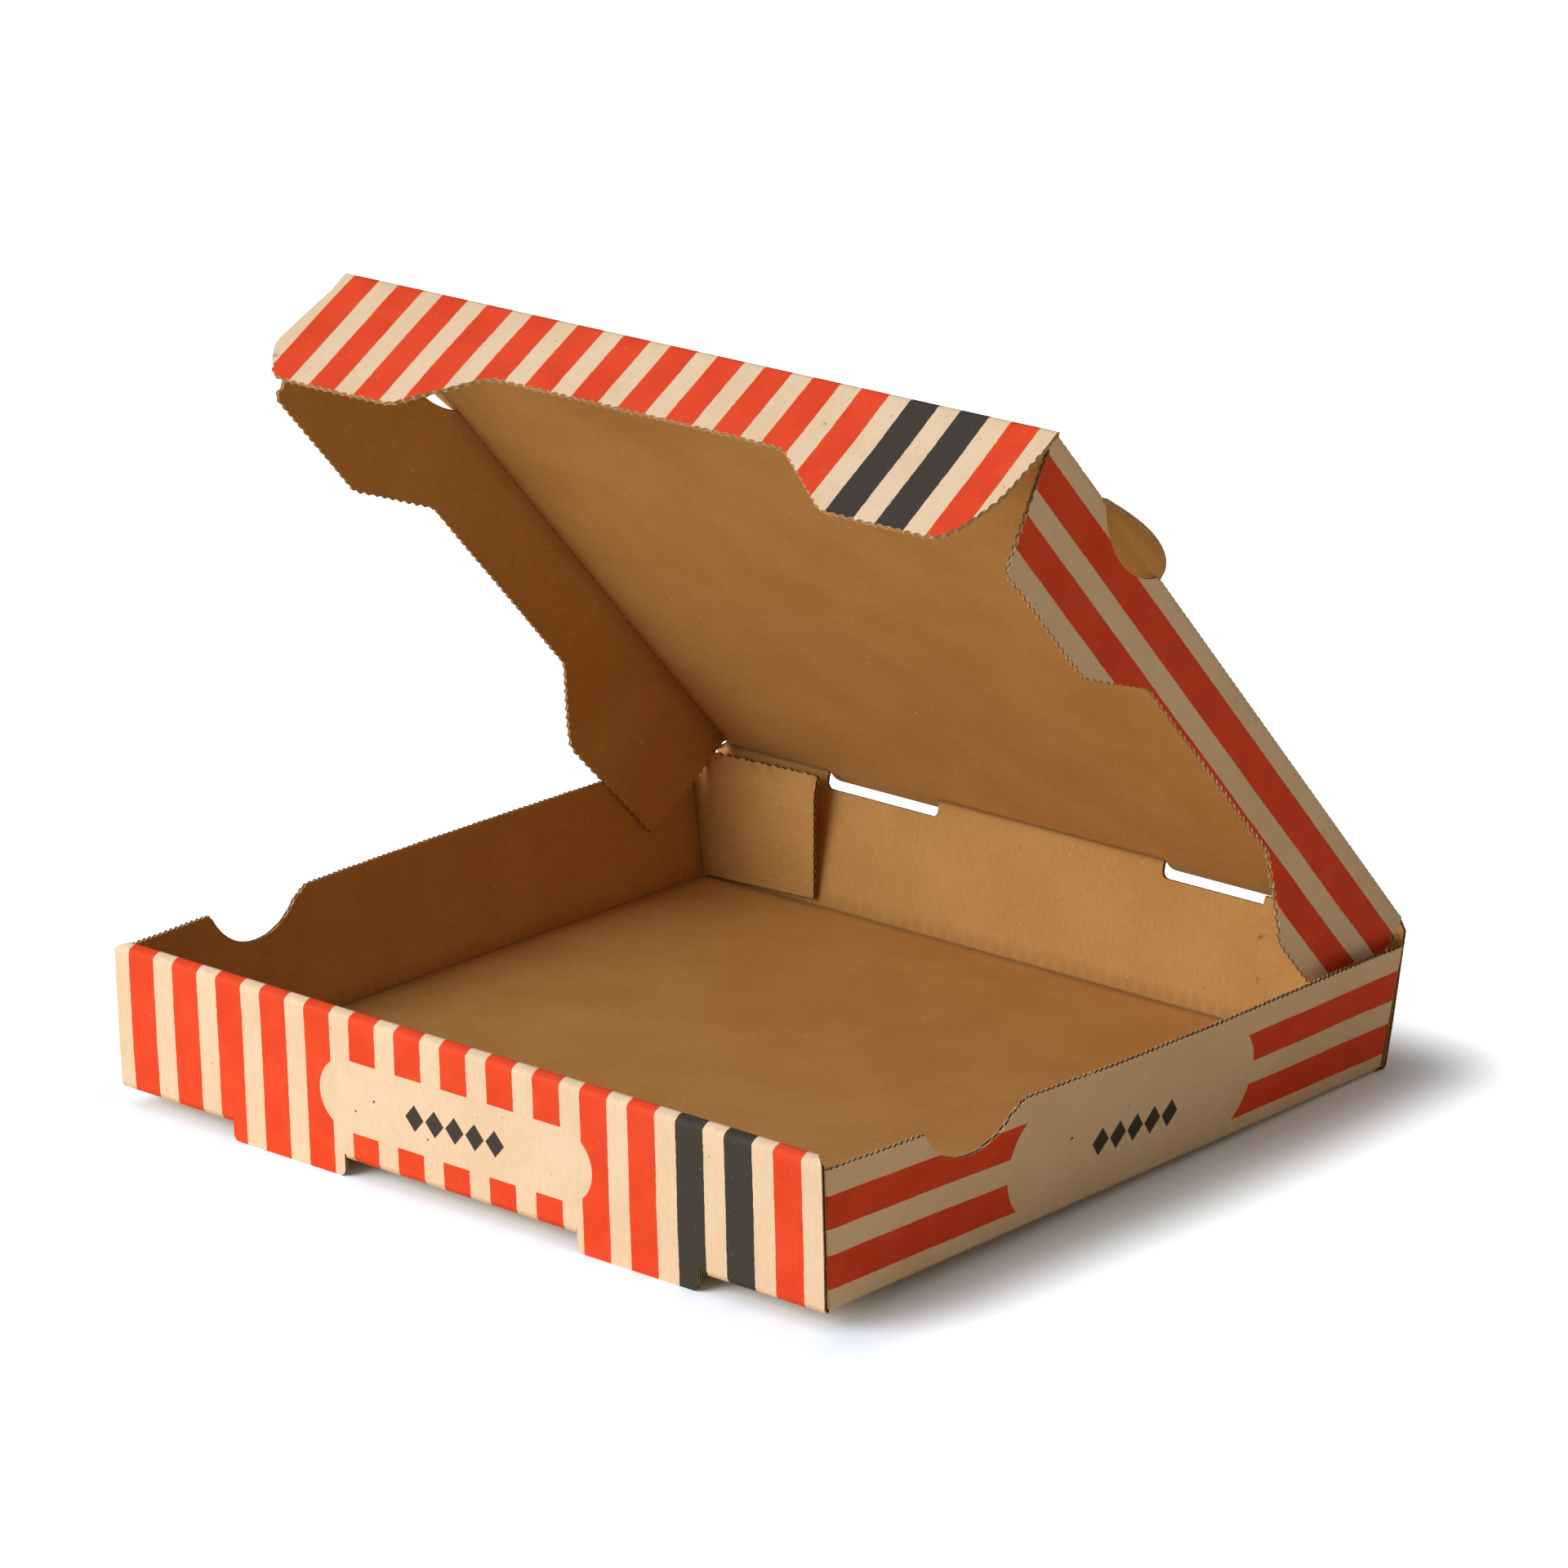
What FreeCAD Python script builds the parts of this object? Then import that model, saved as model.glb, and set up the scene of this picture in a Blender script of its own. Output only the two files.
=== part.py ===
import FreeCAD, Part

import math
import os

import Sketcher

os.makedirs("parts", exist_ok=True)

doc = FreeCAD.newDocument("PizzaBox")

# Driving sizes, in millimetres and degrees.
# X runs along the front wall, Y from the front wall to the hinge, Z up from the base's underside.
SIZES = {
    "board": 1.6,
    "box_width": 308,
    "box_depth": 308,
    "front_height": 51.8,
    "front_lean": 3.8,
    "ridge_rise": 2.0,
    "ridge_end_inset": 4.9,
    "tab_gap": 0.2,
    "locked_tab_length": 45,
    "lock_tab_width": 48,
    "side_drop": 2.8,
    "splay_middle": 8.0,
    "splay_rear": 6.5,
    "notch_centre": 68.5,
    "notch_radius": 27,
    "notch_depth": 12.9,
    "back_height": 52.1,
    "back_lean": 10.0,
    "corner_flap_length": 54.5,
    "corner_flap_lift": 3.0,
    "corner_flap_rise": 1.0,
    "foot_centre": 76.5,
    "foot_width": 51,
    "foot_length": 6.1,
    "foot_corner": 2.5,
    "tongue_clearance": 0.4,
    "hinge_clearance": 0.5,
    "lid_side_clearance": 0.6,
    "lid_front_clearance": 13.9,
    "lid_opening": 45.8,
    "flap_floor_clearance": 3.0,
    "flap_recess": 29.5,
    "flap_front_taper": 12.5,
    "flap_corner": 4.0,
    "flap_rear_clearance": 0.6,
    "rear_tab_end": 60,
    "recess_start": 92,
    "recess_end": 103.9,
    "front_tab_length": 70.9,
    "ramp_blend": 9.0,
    "finger_centre": 62.4,
    "finger_width": 47,
    "finger_reach": 10,
    "front_flap_splay": 7.0,
    "front_end_inset": 7.8,
    "front_end_length": 54,
    "front_ramp_length": 28,
    "front_corner": 10.0,
}

sizes = doc.addObject("Spreadsheet::Sheet", "Sizes")
for row, (alias, value) in enumerate(SIZES.items(), start=1):
    cell = "B%d" % row
    sizes.set("A%d" % row, alias)
    sizes.set(cell, str(value))
    sizes.setAlias(cell, alias)

# Sizes worked out from the driving ones
DERIVED = {
    "half_width": "=box_width / 2",
    "half_depth": "=box_depth / 2",
    "foot_inner": "=foot_centre - foot_width / 2",
    "foot_outer": "=foot_centre + foot_width / 2",
    "slot_inner": "=foot_centre - foot_width / 2 - tongue_clearance",
    "slot_outer": "=foot_centre + foot_width / 2 + tongue_clearance",
    "slot_depth": "=foot_length + 2 * tongue_clearance",
    "hinge_y": "=box_depth / 2 - board / 2 + back_height * sin(back_lean * 1deg)",
    "hinge_z": "=back_height * cos(back_lean * 1deg)",
    "side_height": "=back_height * cos(back_lean * 1deg) - side_drop",
    "ridge_depth": "=3 * board + 3 * tab_gap",
    "corner_plane": "=box_depth / 2 - 1.5 * board - tab_gap",
    "lid_half": "=box_width / 2 - board - lid_side_clearance",
    "lid_rear": "=board / 2 + hinge_clearance",
    "lid_length": "=hinge_y + box_depth / 2 - 3 * board - 3 * tab_gap - lid_front_clearance",
    "flap_depth": "=hinge_z - board / 2 - flap_floor_clearance",
    "recess_front": "=lid_length - recess_end",
    "tab_front": "=lid_length - front_tab_length",
    "finger_place": "=lid_length - finger_centre",
    "front_end_outer": "=lid_half - front_end_inset",
    "front_end_inner": "=lid_half - front_end_inset - front_end_length",
    "front_recess_half": "=lid_half - front_end_inset - front_end_length - front_ramp_length",
    "flap_rear": "=hinge_y - corner_plane + board / 2 + flap_rear_clearance",
    "finger_radius": "=(finger_width * finger_width / 4 + finger_reach * finger_reach) / (2 * finger_reach)",
}
for row, (alias, formula) in enumerate(DERIVED.items(), start=len(SIZES) + 2):
    cell = "B%d" % row
    sizes.set("A%d" % row, alias)
    sizes.set(cell, formula)
    sizes.setAlias(cell, alias)
doc.recompute()


def size(alias):
    """The present value of one cell."""
    return float(sizes.get(alias))


def origin_plane(body, role):
    """One of the body's own origin planes, found by its role."""
    for feature in body.Origin.OriginFeatures:
        if feature.Role == role:
            return feature
    raise ValueError("no origin plane " + role)


def new_body(label):
    body = doc.addObject("PartDesign::Body", label)
    body.Label = label
    return body


def outline(body, name, role, loops, place=None, turn=None):
    """A sketch of closed straight-sided loops whose corners are pairs of expressions.

    place holds the expressions of the plane's offset, turn its axis and its angle's expression."""
    sketch = body.newObject("Sketcher::SketchObject", name)
    sketch.AttachmentSupport = [(origin_plane(body, role), "")]
    sketch.MapMode = "FlatFace"
    if turn:
        sketch.AttachmentOffset = FreeCAD.Placement(FreeCAD.Vector(), FreeCAD.Rotation(turn[0], 1))
        sketch.setExpression("AttachmentOffset.Rotation.Angle", turn[1])
    for axis, expression in (place or {}).items():
        sketch.setExpression("AttachmentOffset.Base." + axis, expression)
    first = 0
    for corners in loops:
        count = len(corners)
        start = [
            FreeCAD.Vector(math.cos(2 * math.pi * k / count), math.sin(2 * math.pi * k / count), 0)
            for k in range(count)
        ]
        for k in range(count):
            sketch.addGeometry(Part.LineSegment(start[k], start[(k + 1) % count]), False)
        for k in range(count):
            following = first + (k + 1) % count
            sketch.addConstraint(Sketcher.Constraint("Coincident", first + k, 2, following, 1))
        for k, (across, up) in enumerate(corners):
            for kind, value, expression in (("DistanceX", start[k].x, across), ("DistanceY", start[k].y, up)):
                index = sketch.addConstraint(Sketcher.Constraint(kind, -1, 1, first + k, 1, value))
                sketch.setExpression("Constraints[%d]" % index, expression)
        first += count
    return sketch


def pad(body, name, sketch, length, midplane=False):
    feature = body.newObject("PartDesign::Pad", name)
    feature.Profile = sketch
    feature.Type = "Length"
    feature.Midplane = midplane
    feature.setExpression("Length", length)
    doc.recompute()
    return feature


def cylinder(body, name, kind, role, radius, height, place):
    """A round primitive of the body, added or cut, with its axis square to the plane's role."""
    feature = body.newObject("PartDesign::" + kind, name)
    feature.AttachmentSupport = [(origin_plane(body, role), "")]
    feature.MapMode = "FlatFace"
    feature.setExpression("Radius", radius)
    feature.setExpression("Height", height)
    for axis, expression in place.items():
        feature.setExpression("AttachmentOffset.Base." + axis, expression)
    doc.recompute()
    return feature


def round_corners(body, name, radius, places, reach=0.6):
    """Rounds the edges whose middle lies within reach of one of the places."""
    base = body.Tip
    names = []
    for number, edge in enumerate(base.Shape.Edges, start=1):
        middle = edge.valueAt((edge.FirstParameter + edge.LastParameter) / 2)
        if any(middle.distanceToPoint(place) < reach for place in places):
            names.append("Edge%d" % number)
    if len(names) != len(places):
        raise ValueError("%s: %d edges for %d corners" % (name, len(names), len(places)))
    feature = body.newObject("PartDesign::Fillet", name)
    feature.Base = (base, names)
    feature.setExpression("Radius", radius)
    doc.recompute()
    return feature


def mirrored(corners):
    """The same loop on the other side of the middle plane."""
    return [("-(" + across + ")", up) for across, up in reversed(corners)]


def both(corners):
    return [corners, mirrored(corners)]


X_AXIS = FreeCAD.Vector(1, 0, 0)
Z_AXIS = FreeCAD.Vector(0, 0, 1)


# Tray: one sheet folded up into a base, a back wall, two side walls and a rolled double front wall
def front_wall_plane(depth):
    """The plane that leans with the front wall, depth behind its outer face."""
    return {
        "place": {
            "y": "(%s) * sin(Sizes.front_lean * 1deg)" % depth,
            "z": "Sizes.half_depth - (%s) * cos(Sizes.front_lean * 1deg)" % depth,
        },
        "turn": (X_AXIS, "Sizes.front_lean * 1deg"),
    }


def make_tray():
    tray = new_body("tray")
    base_corners = [
        ("-Sizes.half_width", "Sizes.half_depth"),
        ("-Sizes.half_width", "-Sizes.half_depth"),
        ("-Sizes.slot_outer", "-Sizes.half_depth"),
        ("-Sizes.slot_outer", "-Sizes.half_depth + Sizes.foot_length"),
        ("-Sizes.slot_inner", "-Sizes.half_depth + Sizes.foot_length"),
        ("-Sizes.slot_inner", "-Sizes.half_depth"),
        ("Sizes.slot_inner", "-Sizes.half_depth"),
        ("Sizes.slot_inner", "-Sizes.half_depth + Sizes.foot_length"),
        ("Sizes.slot_outer", "-Sizes.half_depth + Sizes.foot_length"),
        ("Sizes.slot_outer", "-Sizes.half_depth"),
        ("Sizes.half_width", "-Sizes.half_depth"),
        ("Sizes.half_width", "Sizes.half_depth"),
    ]
    base = outline(tray, "BaseOutline", "XY_Plane", [base_corners])
    pad(tray, "Base", base, "Sizes.board")

    back_corners = [
        ("-Sizes.half_width", "Sizes.board / 2"),
        ("Sizes.half_width", "Sizes.board / 2"),
        ("Sizes.half_width", "Sizes.back_height"),
        ("Sizes.slot_outer", "Sizes.back_height"),
        ("Sizes.slot_outer", "Sizes.back_height - Sizes.slot_depth"),
        ("Sizes.slot_inner", "Sizes.back_height - Sizes.slot_depth"),
        ("Sizes.slot_inner", "Sizes.back_height"),
        ("-Sizes.slot_inner", "Sizes.back_height"),
        ("-Sizes.slot_inner", "Sizes.back_height - Sizes.slot_depth"),
        ("-Sizes.slot_outer", "Sizes.back_height - Sizes.slot_depth"),
        ("-Sizes.slot_outer", "Sizes.back_height"),
        ("-Sizes.half_width", "Sizes.back_height"),
    ]
    back = outline(
        tray,
        "BackWallOutline",
        "XZ_Plane",
        [back_corners],
        {"z": "-Sizes.half_depth + Sizes.board / 2"},
        (X_AXIS, "-Sizes.back_lean * 1deg"),
    )
    pad(tray, "BackWall", back, "Sizes.board", midplane=True)

    lean = math.radians(size("back_lean"))
    slot_floor = size("back_height") - size("slot_depth")
    slot_y = size("half_depth") - size("board") / 2 + slot_floor * math.sin(lean)
    slot_z = slot_floor * math.cos(lean)
    slot_ends = [
        FreeCAD.Vector(side * size(end), slot_y, slot_z) for side in (-1, 1) for end in ("slot_inner", "slot_outer")
    ]
    round_corners(tray, "HingeSlotCorners", "Sizes.foot_corner", slot_ends)

    front_corners = [
        ("-Sizes.half_width", "Sizes.front_height"),
        ("-Sizes.half_width", "Sizes.board / 2"),
        ("-Sizes.foot_outer", "Sizes.board / 2"),
        ("-Sizes.foot_outer", "-Sizes.foot_length"),
        ("-Sizes.foot_inner", "-Sizes.foot_length"),
        ("-Sizes.foot_inner", "Sizes.board / 2"),
        ("Sizes.foot_inner", "Sizes.board / 2"),
        ("Sizes.foot_inner", "-Sizes.foot_length"),
        ("Sizes.foot_outer", "-Sizes.foot_length"),
        ("Sizes.foot_outer", "Sizes.board / 2"),
        ("Sizes.half_width", "Sizes.board / 2"),
        ("Sizes.half_width", "Sizes.front_height"),
    ]
    front = outline(tray, "FrontWallOutline", "XZ_Plane", [front_corners], **front_wall_plane("Sizes.board / 2"))
    pad(tray, "FrontWall", front, "Sizes.board", midplane=True)

    lean = math.radians(size("front_lean"))
    foot_y = -size("half_depth") + size("board") / 2 * math.cos(lean) + size("foot_length") * math.sin(lean)
    foot_z = size("board") / 2 * math.sin(lean) - size("foot_length") * math.cos(lean)
    foot_ends = [
        FreeCAD.Vector(side * size(end), foot_y, foot_z) for side in (-1, 1) for end in ("foot_inner", "foot_outer")
    ]
    round_corners(tray, "FootCorners", "Sizes.foot_corner", foot_ends)

    # Tabs of the side walls, held inside the double front wall
    tab_corners = [
        ("Sizes.half_width - Sizes.locked_tab_length", "Sizes.board / 2"),
        ("Sizes.half_width - Sizes.board / 2", "Sizes.board / 2"),
        ("Sizes.half_width - Sizes.board / 2", "Sizes.side_height - Sizes.board"),
        ("Sizes.half_width - Sizes.locked_tab_length", "Sizes.side_height - Sizes.board"),
    ]
    tab_depth = "1.5 * Sizes.board + Sizes.tab_gap"
    tabs = outline(tray, "FrontTabOutlines", "XZ_Plane", both(tab_corners), **front_wall_plane(tab_depth))
    pad(tray, "FrontTabs", tabs, "Sizes.board", midplane=True)

    for side, sign in (("Left", "-"), ("Right", "")):
        make_side_wall(tray, side, sign)

    cylinder(
        tray,
        "SideNotches",
        "SubtractiveCylinder",
        "YZ_Plane",
        "Sizes.notch_radius",
        "Sizes.box_width + 4 * Sizes.splay_middle",
        {
            "x": "-Sizes.half_depth + Sizes.notch_centre",
            "y": "Sizes.side_height - Sizes.notch_depth + Sizes.notch_radius",
            "z": "-Sizes.half_width - 2 * Sizes.splay_middle",
        },
    )

    # The front wall's rolled top and inner panel, drawn across the wall: depth behind its face, then height
    roll_corners = [
        ("0", "Sizes.front_height - Sizes.board"),
        ("Sizes.ridge_depth - Sizes.board", "Sizes.front_height + Sizes.ridge_rise - Sizes.board"),
        ("Sizes.ridge_depth - Sizes.board", "Sizes.board / 2"),
        ("Sizes.ridge_depth", "Sizes.board / 2"),
        ("Sizes.ridge_depth", "Sizes.front_height + Sizes.ridge_rise"),
        ("0", "Sizes.front_height"),
    ]
    roll = outline(
        tray,
        "RollProfile",
        "YZ_Plane",
        [roll_corners],
        {"x": "-Sizes.half_depth"},
        (Z_AXIS, "Sizes.front_lean * 1deg"),
    )
    pad(tray, "RolledFront", roll, "Sizes.box_width - 2 * Sizes.ridge_end_inset", midplane=True)

    lock_corners = [
        ("Sizes.foot_centre - Sizes.lock_tab_width / 2", "Sizes.tab_gap"),
        ("Sizes.foot_centre + Sizes.lock_tab_width / 2", "Sizes.tab_gap"),
        ("Sizes.foot_centre + Sizes.lock_tab_width / 2", "2 * Sizes.board"),
        ("Sizes.foot_centre - Sizes.lock_tab_width / 2", "2 * Sizes.board"),
    ]
    lock_depth = "Sizes.ridge_depth - Sizes.board / 2"
    locks = outline(tray, "LockTabOutlines", "XZ_Plane", both(lock_corners), **front_wall_plane(lock_depth))
    pad(tray, "LockTabs", locks, "Sizes.board", midplane=True)

    corner_flap = [
        ("Sizes.half_width - Sizes.corner_flap_length", "Sizes.board + Sizes.corner_flap_lift"),
        ("Sizes.half_width - Sizes.board / 2", "Sizes.board"),
        ("Sizes.half_width - Sizes.board / 2 + Sizes.splay_rear", "Sizes.side_height"),
        ("Sizes.half_width - Sizes.corner_flap_length", "Sizes.side_height + Sizes.corner_flap_rise"),
    ]
    corners = outline(
        tray, "CornerFlapOutlines", "XZ_Plane", both(corner_flap), {"z": "-Sizes.corner_plane"}
    )
    pad(tray, "CornerFlaps", corners, "Sizes.board", midplane=True)
    return tray


def wall_section(tray, name, sign, splay, place, turn=None):
    """A side wall's section: upright at the base and leaning out by splay at the top."""
    corners = [
        (sign + "(Sizes.half_width - Sizes.board)", "0"),
        (sign + "Sizes.half_width", "0"),
        (sign + "(Sizes.half_width + %s)" % splay, "Sizes.side_height"),
        (sign + "(Sizes.half_width - Sizes.board + %s)" % splay, "Sizes.side_height"),
    ]
    return outline(tray, name, "XZ_Plane", [corners], place, turn)


def make_side_wall(tray, side, sign):
    """One side wall: held upright by the front wall, bulging outwards towards the middle and the rear."""
    front = front_wall_plane("Sizes.board + Sizes.tab_gap")
    sections = [
        wall_section(tray, side + "WallFront", sign, "0", front["place"], front["turn"]),
        wall_section(tray, side + "WallMiddle", sign, "Sizes.splay_middle", {"z": "0"}),
        wall_section(
            tray,
            side + "WallRear",
            sign,
            "Sizes.splay_rear",
            {"z": "-Sizes.corner_plane - Sizes.board / 2"},
        ),
    ]
    wall = tray.newObject("PartDesign::AdditiveLoft", side + "Wall")
    wall.Profile = sections[0]
    wall.Sections = sections[1:]
    wall.Ruled = True
    doc.recompute()


# Lid: one sheet with a front flap and two side flaps, drawn closed about the hinge line
def make_lid():
    lid = new_body("lid")
    panel_corners = [
        ("-Sizes.lid_half", "-Sizes.lid_rear"),
        ("-Sizes.lid_half", "-Sizes.lid_length"),
        ("Sizes.lid_half", "-Sizes.lid_length"),
        ("Sizes.lid_half", "-Sizes.lid_rear"),
        ("Sizes.foot_outer", "-Sizes.lid_rear"),
        ("Sizes.foot_outer", "Sizes.foot_length"),
        ("Sizes.foot_inner", "Sizes.foot_length"),
        ("Sizes.foot_inner", "-Sizes.lid_rear"),
        ("-Sizes.foot_inner", "-Sizes.lid_rear"),
        ("-Sizes.foot_inner", "Sizes.foot_length"),
        ("-Sizes.foot_outer", "Sizes.foot_length"),
        ("-Sizes.foot_outer", "-Sizes.lid_rear"),
    ]
    panel = outline(lid, "PanelOutline", "XY_Plane", [panel_corners])
    pad(lid, "Panel", panel, "Sizes.board", midplane=True)
    tongue_ends = [
        FreeCAD.Vector(side * size(end), size("foot_length"), 0)
        for side in (-1, 1)
        for end in ("foot_inner", "foot_outer")
    ]
    round_corners(lid, "TongueCorners", "Sizes.foot_corner", tongue_ends)

    # The side flaps: a tab at each end and a shallower stretch between them
    tip = "Sizes.board / 2 - Sizes.flap_depth"
    shallow = "Sizes.board / 2 - Sizes.flap_recess"
    flap_corners = [
        ("-Sizes.flap_rear", "Sizes.board / 2"),
        ("-Sizes.flap_rear", tip),
        ("-Sizes.rear_tab_end", tip),
        ("-Sizes.recess_start", shallow),
        ("-Sizes.recess_front", shallow),
        ("-Sizes.tab_front", tip),
        ("-Sizes.lid_length + Sizes.flap_front_taper", tip),
        ("-Sizes.lid_length", "Sizes.board / 2"),
    ]
    for side, sign in (("Left", -1), ("Right", 1)):
        across = "%d * (Sizes.lid_half - Sizes.board / 2)" % sign
        flap = outline(lid, side + "FlapOutline", "YZ_Plane", [flap_corners], {"z": across})
        pad(lid, side + "Flap", flap, "Sizes.board", midplane=True)
        middle = sign * (size("lid_half") - size("board") / 2)
        low = size("board") / 2 - size("flap_depth")
        high = size("board") / 2 - size("flap_recess")
        ends = [
            FreeCAD.Vector(middle, -size("rear_tab_end"), low),
            FreeCAD.Vector(middle, -size("recess_start"), high),
            FreeCAD.Vector(middle, -size("recess_front"), high),
            FreeCAD.Vector(middle, -size("tab_front"), low),
        ]
        round_corners(lid, side + "FlapRamps", "Sizes.ramp_blend", ends)
        tips = [
            FreeCAD.Vector(middle, -size("flap_rear"), low),
            FreeCAD.Vector(middle, -size("lid_length") + size("flap_front_taper"), low),
        ]
        round_corners(lid, side + "FlapTips", "Sizes.flap_corner", tips)

    # The front flap: two deep end tabs and a shallower middle, leaning a little forwards
    front_corners = [
        ("-Sizes.lid_half", "Sizes.board / 2"),
        ("-Sizes.lid_half", "Sizes.board / 2 - Sizes.flap_depth / 2"),
        ("-Sizes.front_end_outer", tip),
        ("-Sizes.front_end_inner", tip),
        ("-Sizes.front_recess_half", shallow),
        ("Sizes.front_recess_half", shallow),
        ("Sizes.front_end_inner", tip),
        ("Sizes.front_end_outer", tip),
        ("Sizes.lid_half", "Sizes.board / 2 - Sizes.flap_depth / 2"),
        ("Sizes.lid_half", "Sizes.board / 2"),
    ]
    front = outline(
        lid,
        "FrontFlapOutline",
        "XZ_Plane",
        [front_corners],
        {"z": "Sizes.lid_length - Sizes.board / 2"},
        (X_AXIS, "-Sizes.front_flap_splay * 1deg"),
    )
    pad(lid, "FrontFlap", front, "Sizes.board", midplane=True)
    splay = math.radians(size("front_flap_splay"))

    def on_front_flap(across, up):
        forward = size("lid_length") - size("board") / 2 - up * math.sin(splay)
        return FreeCAD.Vector(across, -forward, up * math.cos(splay))

    low = size("board") / 2 - size("flap_depth")
    high = size("board") / 2 - size("flap_recess")
    ramps = [
        on_front_flap(side * size(end), up)
        for side in (-1, 1)
        for end, up in (("front_end_inner", low), ("front_recess_half", high))
    ]
    round_corners(lid, "FrontFlapRamps", "Sizes.ramp_blend", ramps)
    ends = [on_front_flap(side * size("front_end_outer"), low) for side in (-1, 1)]
    round_corners(lid, "FrontFlapTips", "Sizes.front_corner", ends)

    # Half-moon finger tabs stay in the panel's plane and leave half-moon holes in the side flaps
    for side, sign in (("Left", -1), ("Right", 1)):
        start = "Sizes.lid_half - Sizes.board" if sign > 0 else "-Sizes.lid_half"
        cylinder(
            lid,
            side + "FingerHole",
            "SubtractiveCylinder",
            "YZ_Plane",
            "Sizes.finger_radius",
            "Sizes.board",
            {
                "x": "-Sizes.finger_place",
                "y": "Sizes.board / 2 - Sizes.finger_reach + Sizes.finger_radius",
                "z": start,
            },
        )
        cylinder(
            lid,
            side + "FingerTab",
            "AdditiveCylinder",
            "XY_Plane",
            "Sizes.finger_radius",
            "Sizes.board",
            {
                "x": "%d * (Sizes.lid_half + Sizes.finger_reach - Sizes.finger_radius)" % sign,
                "y": "-Sizes.finger_place",
                "z": "-Sizes.board / 2",
            },
        )

    # The lid stands open about the hinge line
    lid.Placement = FreeCAD.Placement(FreeCAD.Vector(), FreeCAD.Rotation(X_AXIS, -1))
    lid.setExpression("Placement.Rotation.Angle", "-Sizes.lid_opening * 1deg")
    lid.setExpression("Placement.Base.y", "Sizes.hinge_y")
    lid.setExpression("Placement.Base.z", "Sizes.hinge_z")
    doc.recompute()
    return lid


nodes = [make_tray(), make_lid()]
doc.recompute()

for item in doc.Objects:
    if "Invalid" in item.State or "Error" in item.State:
        raise RuntimeError("%s failed: %s" % (item.Label, item.State))
for node in nodes:
    if node.Shape.isNull() or not node.Shape.isValid() or len(node.Shape.Solids) != 1:
        raise RuntimeError("%s is not one valid solid" % node.Label)
for node in nodes:
    node.Shape.exportStep("parts/%s.step" % node.Label)
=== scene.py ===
import math

import bpy
import numpy as np
from mathutils import Matrix, Vector, kdtree
from mathutils.geometry import delaunay_2d_cdt


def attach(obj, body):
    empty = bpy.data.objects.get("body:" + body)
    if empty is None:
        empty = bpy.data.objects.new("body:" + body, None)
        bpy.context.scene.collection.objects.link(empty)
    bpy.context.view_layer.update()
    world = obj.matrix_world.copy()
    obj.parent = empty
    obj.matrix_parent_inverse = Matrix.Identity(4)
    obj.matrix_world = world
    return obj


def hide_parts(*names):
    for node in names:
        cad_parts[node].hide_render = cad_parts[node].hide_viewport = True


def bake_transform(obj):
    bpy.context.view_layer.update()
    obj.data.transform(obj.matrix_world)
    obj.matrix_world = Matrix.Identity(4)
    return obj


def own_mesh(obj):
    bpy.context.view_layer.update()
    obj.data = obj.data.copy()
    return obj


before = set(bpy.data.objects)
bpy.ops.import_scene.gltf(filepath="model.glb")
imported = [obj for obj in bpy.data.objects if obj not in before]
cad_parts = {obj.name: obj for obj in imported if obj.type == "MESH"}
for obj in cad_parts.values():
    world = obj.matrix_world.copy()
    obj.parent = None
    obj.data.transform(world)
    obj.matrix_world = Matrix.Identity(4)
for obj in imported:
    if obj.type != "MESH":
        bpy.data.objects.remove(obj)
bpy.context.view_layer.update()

# Sizes in millimetres, angles in radians, from the middle of the underside of the tray's base
MM = 0.001
SIDES = (("left", -1), ("right", 1))

# Board: its thickness, the bend of its middle surface, the length allowed for a sheet's last straight
# piece, and the gaps where two cut edges meet
BOARD = 1.6
HALF = BOARD / 2
BEND = 1.6
OPEN_LENGTH = 60.0
TAB_GAP = 0.2
CORNER_GAP = 0.1

# Tray: the front wall with its rolled top
HALF_WIDTH = 154.0
HALF_DEPTH = 154.0
FRONT_HEIGHT = 51.8
FRONT_LEAN = math.radians(3.8)
RIDGE_RISE = 2.0
RIDGE_DEPTH = 5.4
RIDGE_HALF = 149.1
TAPER_START = 0.4
TAPER_END = 1.0
RIDGE_CORNER = 1.2
LOCKED_TAB = 45.0
TAB_SHORTER = 20.0
LOCK_HALF = 24.0

# Tray: the side walls, left and right, with their notches and the flaps behind them
SIDE_HEIGHT = 48.5
WALL_TOP = SIDE_HEIGHT + 0.35
WALL_TOP_CORNER = 1.2
SPLAY_MIDDLE = 8.0
SPLAY_REAR = 7.4
NOTCH_Y = -85.5
NOTCH_RADIUS = 27.0
NOTCH_LOW = 35.6
NOTCH_GAP = 0.1
NOTCH_LIP = 2.5
NOTCH_LIP_DROP = 3.6
WALL_REAR_RISE = {-1: 2.4, 1: -1.2}
WALL_FRONT_RISE = {-1: 1.6, 1: 0.0}
REAR_RISE_START = 110.0
CORNER_PLANE = 151.4
CORNER_FREE = 99.5
CORNER_TOP = 52.0
CORNER_TOP_NEAR = 50.4
CRUSH_DEPTH = 1.6
CRUSH_WAVES = ((0.5, 0.9), (0.3, 2.3))
CRUSH_ALONG = (3, 12)
CRUSH_UP = (43, 52)

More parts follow.
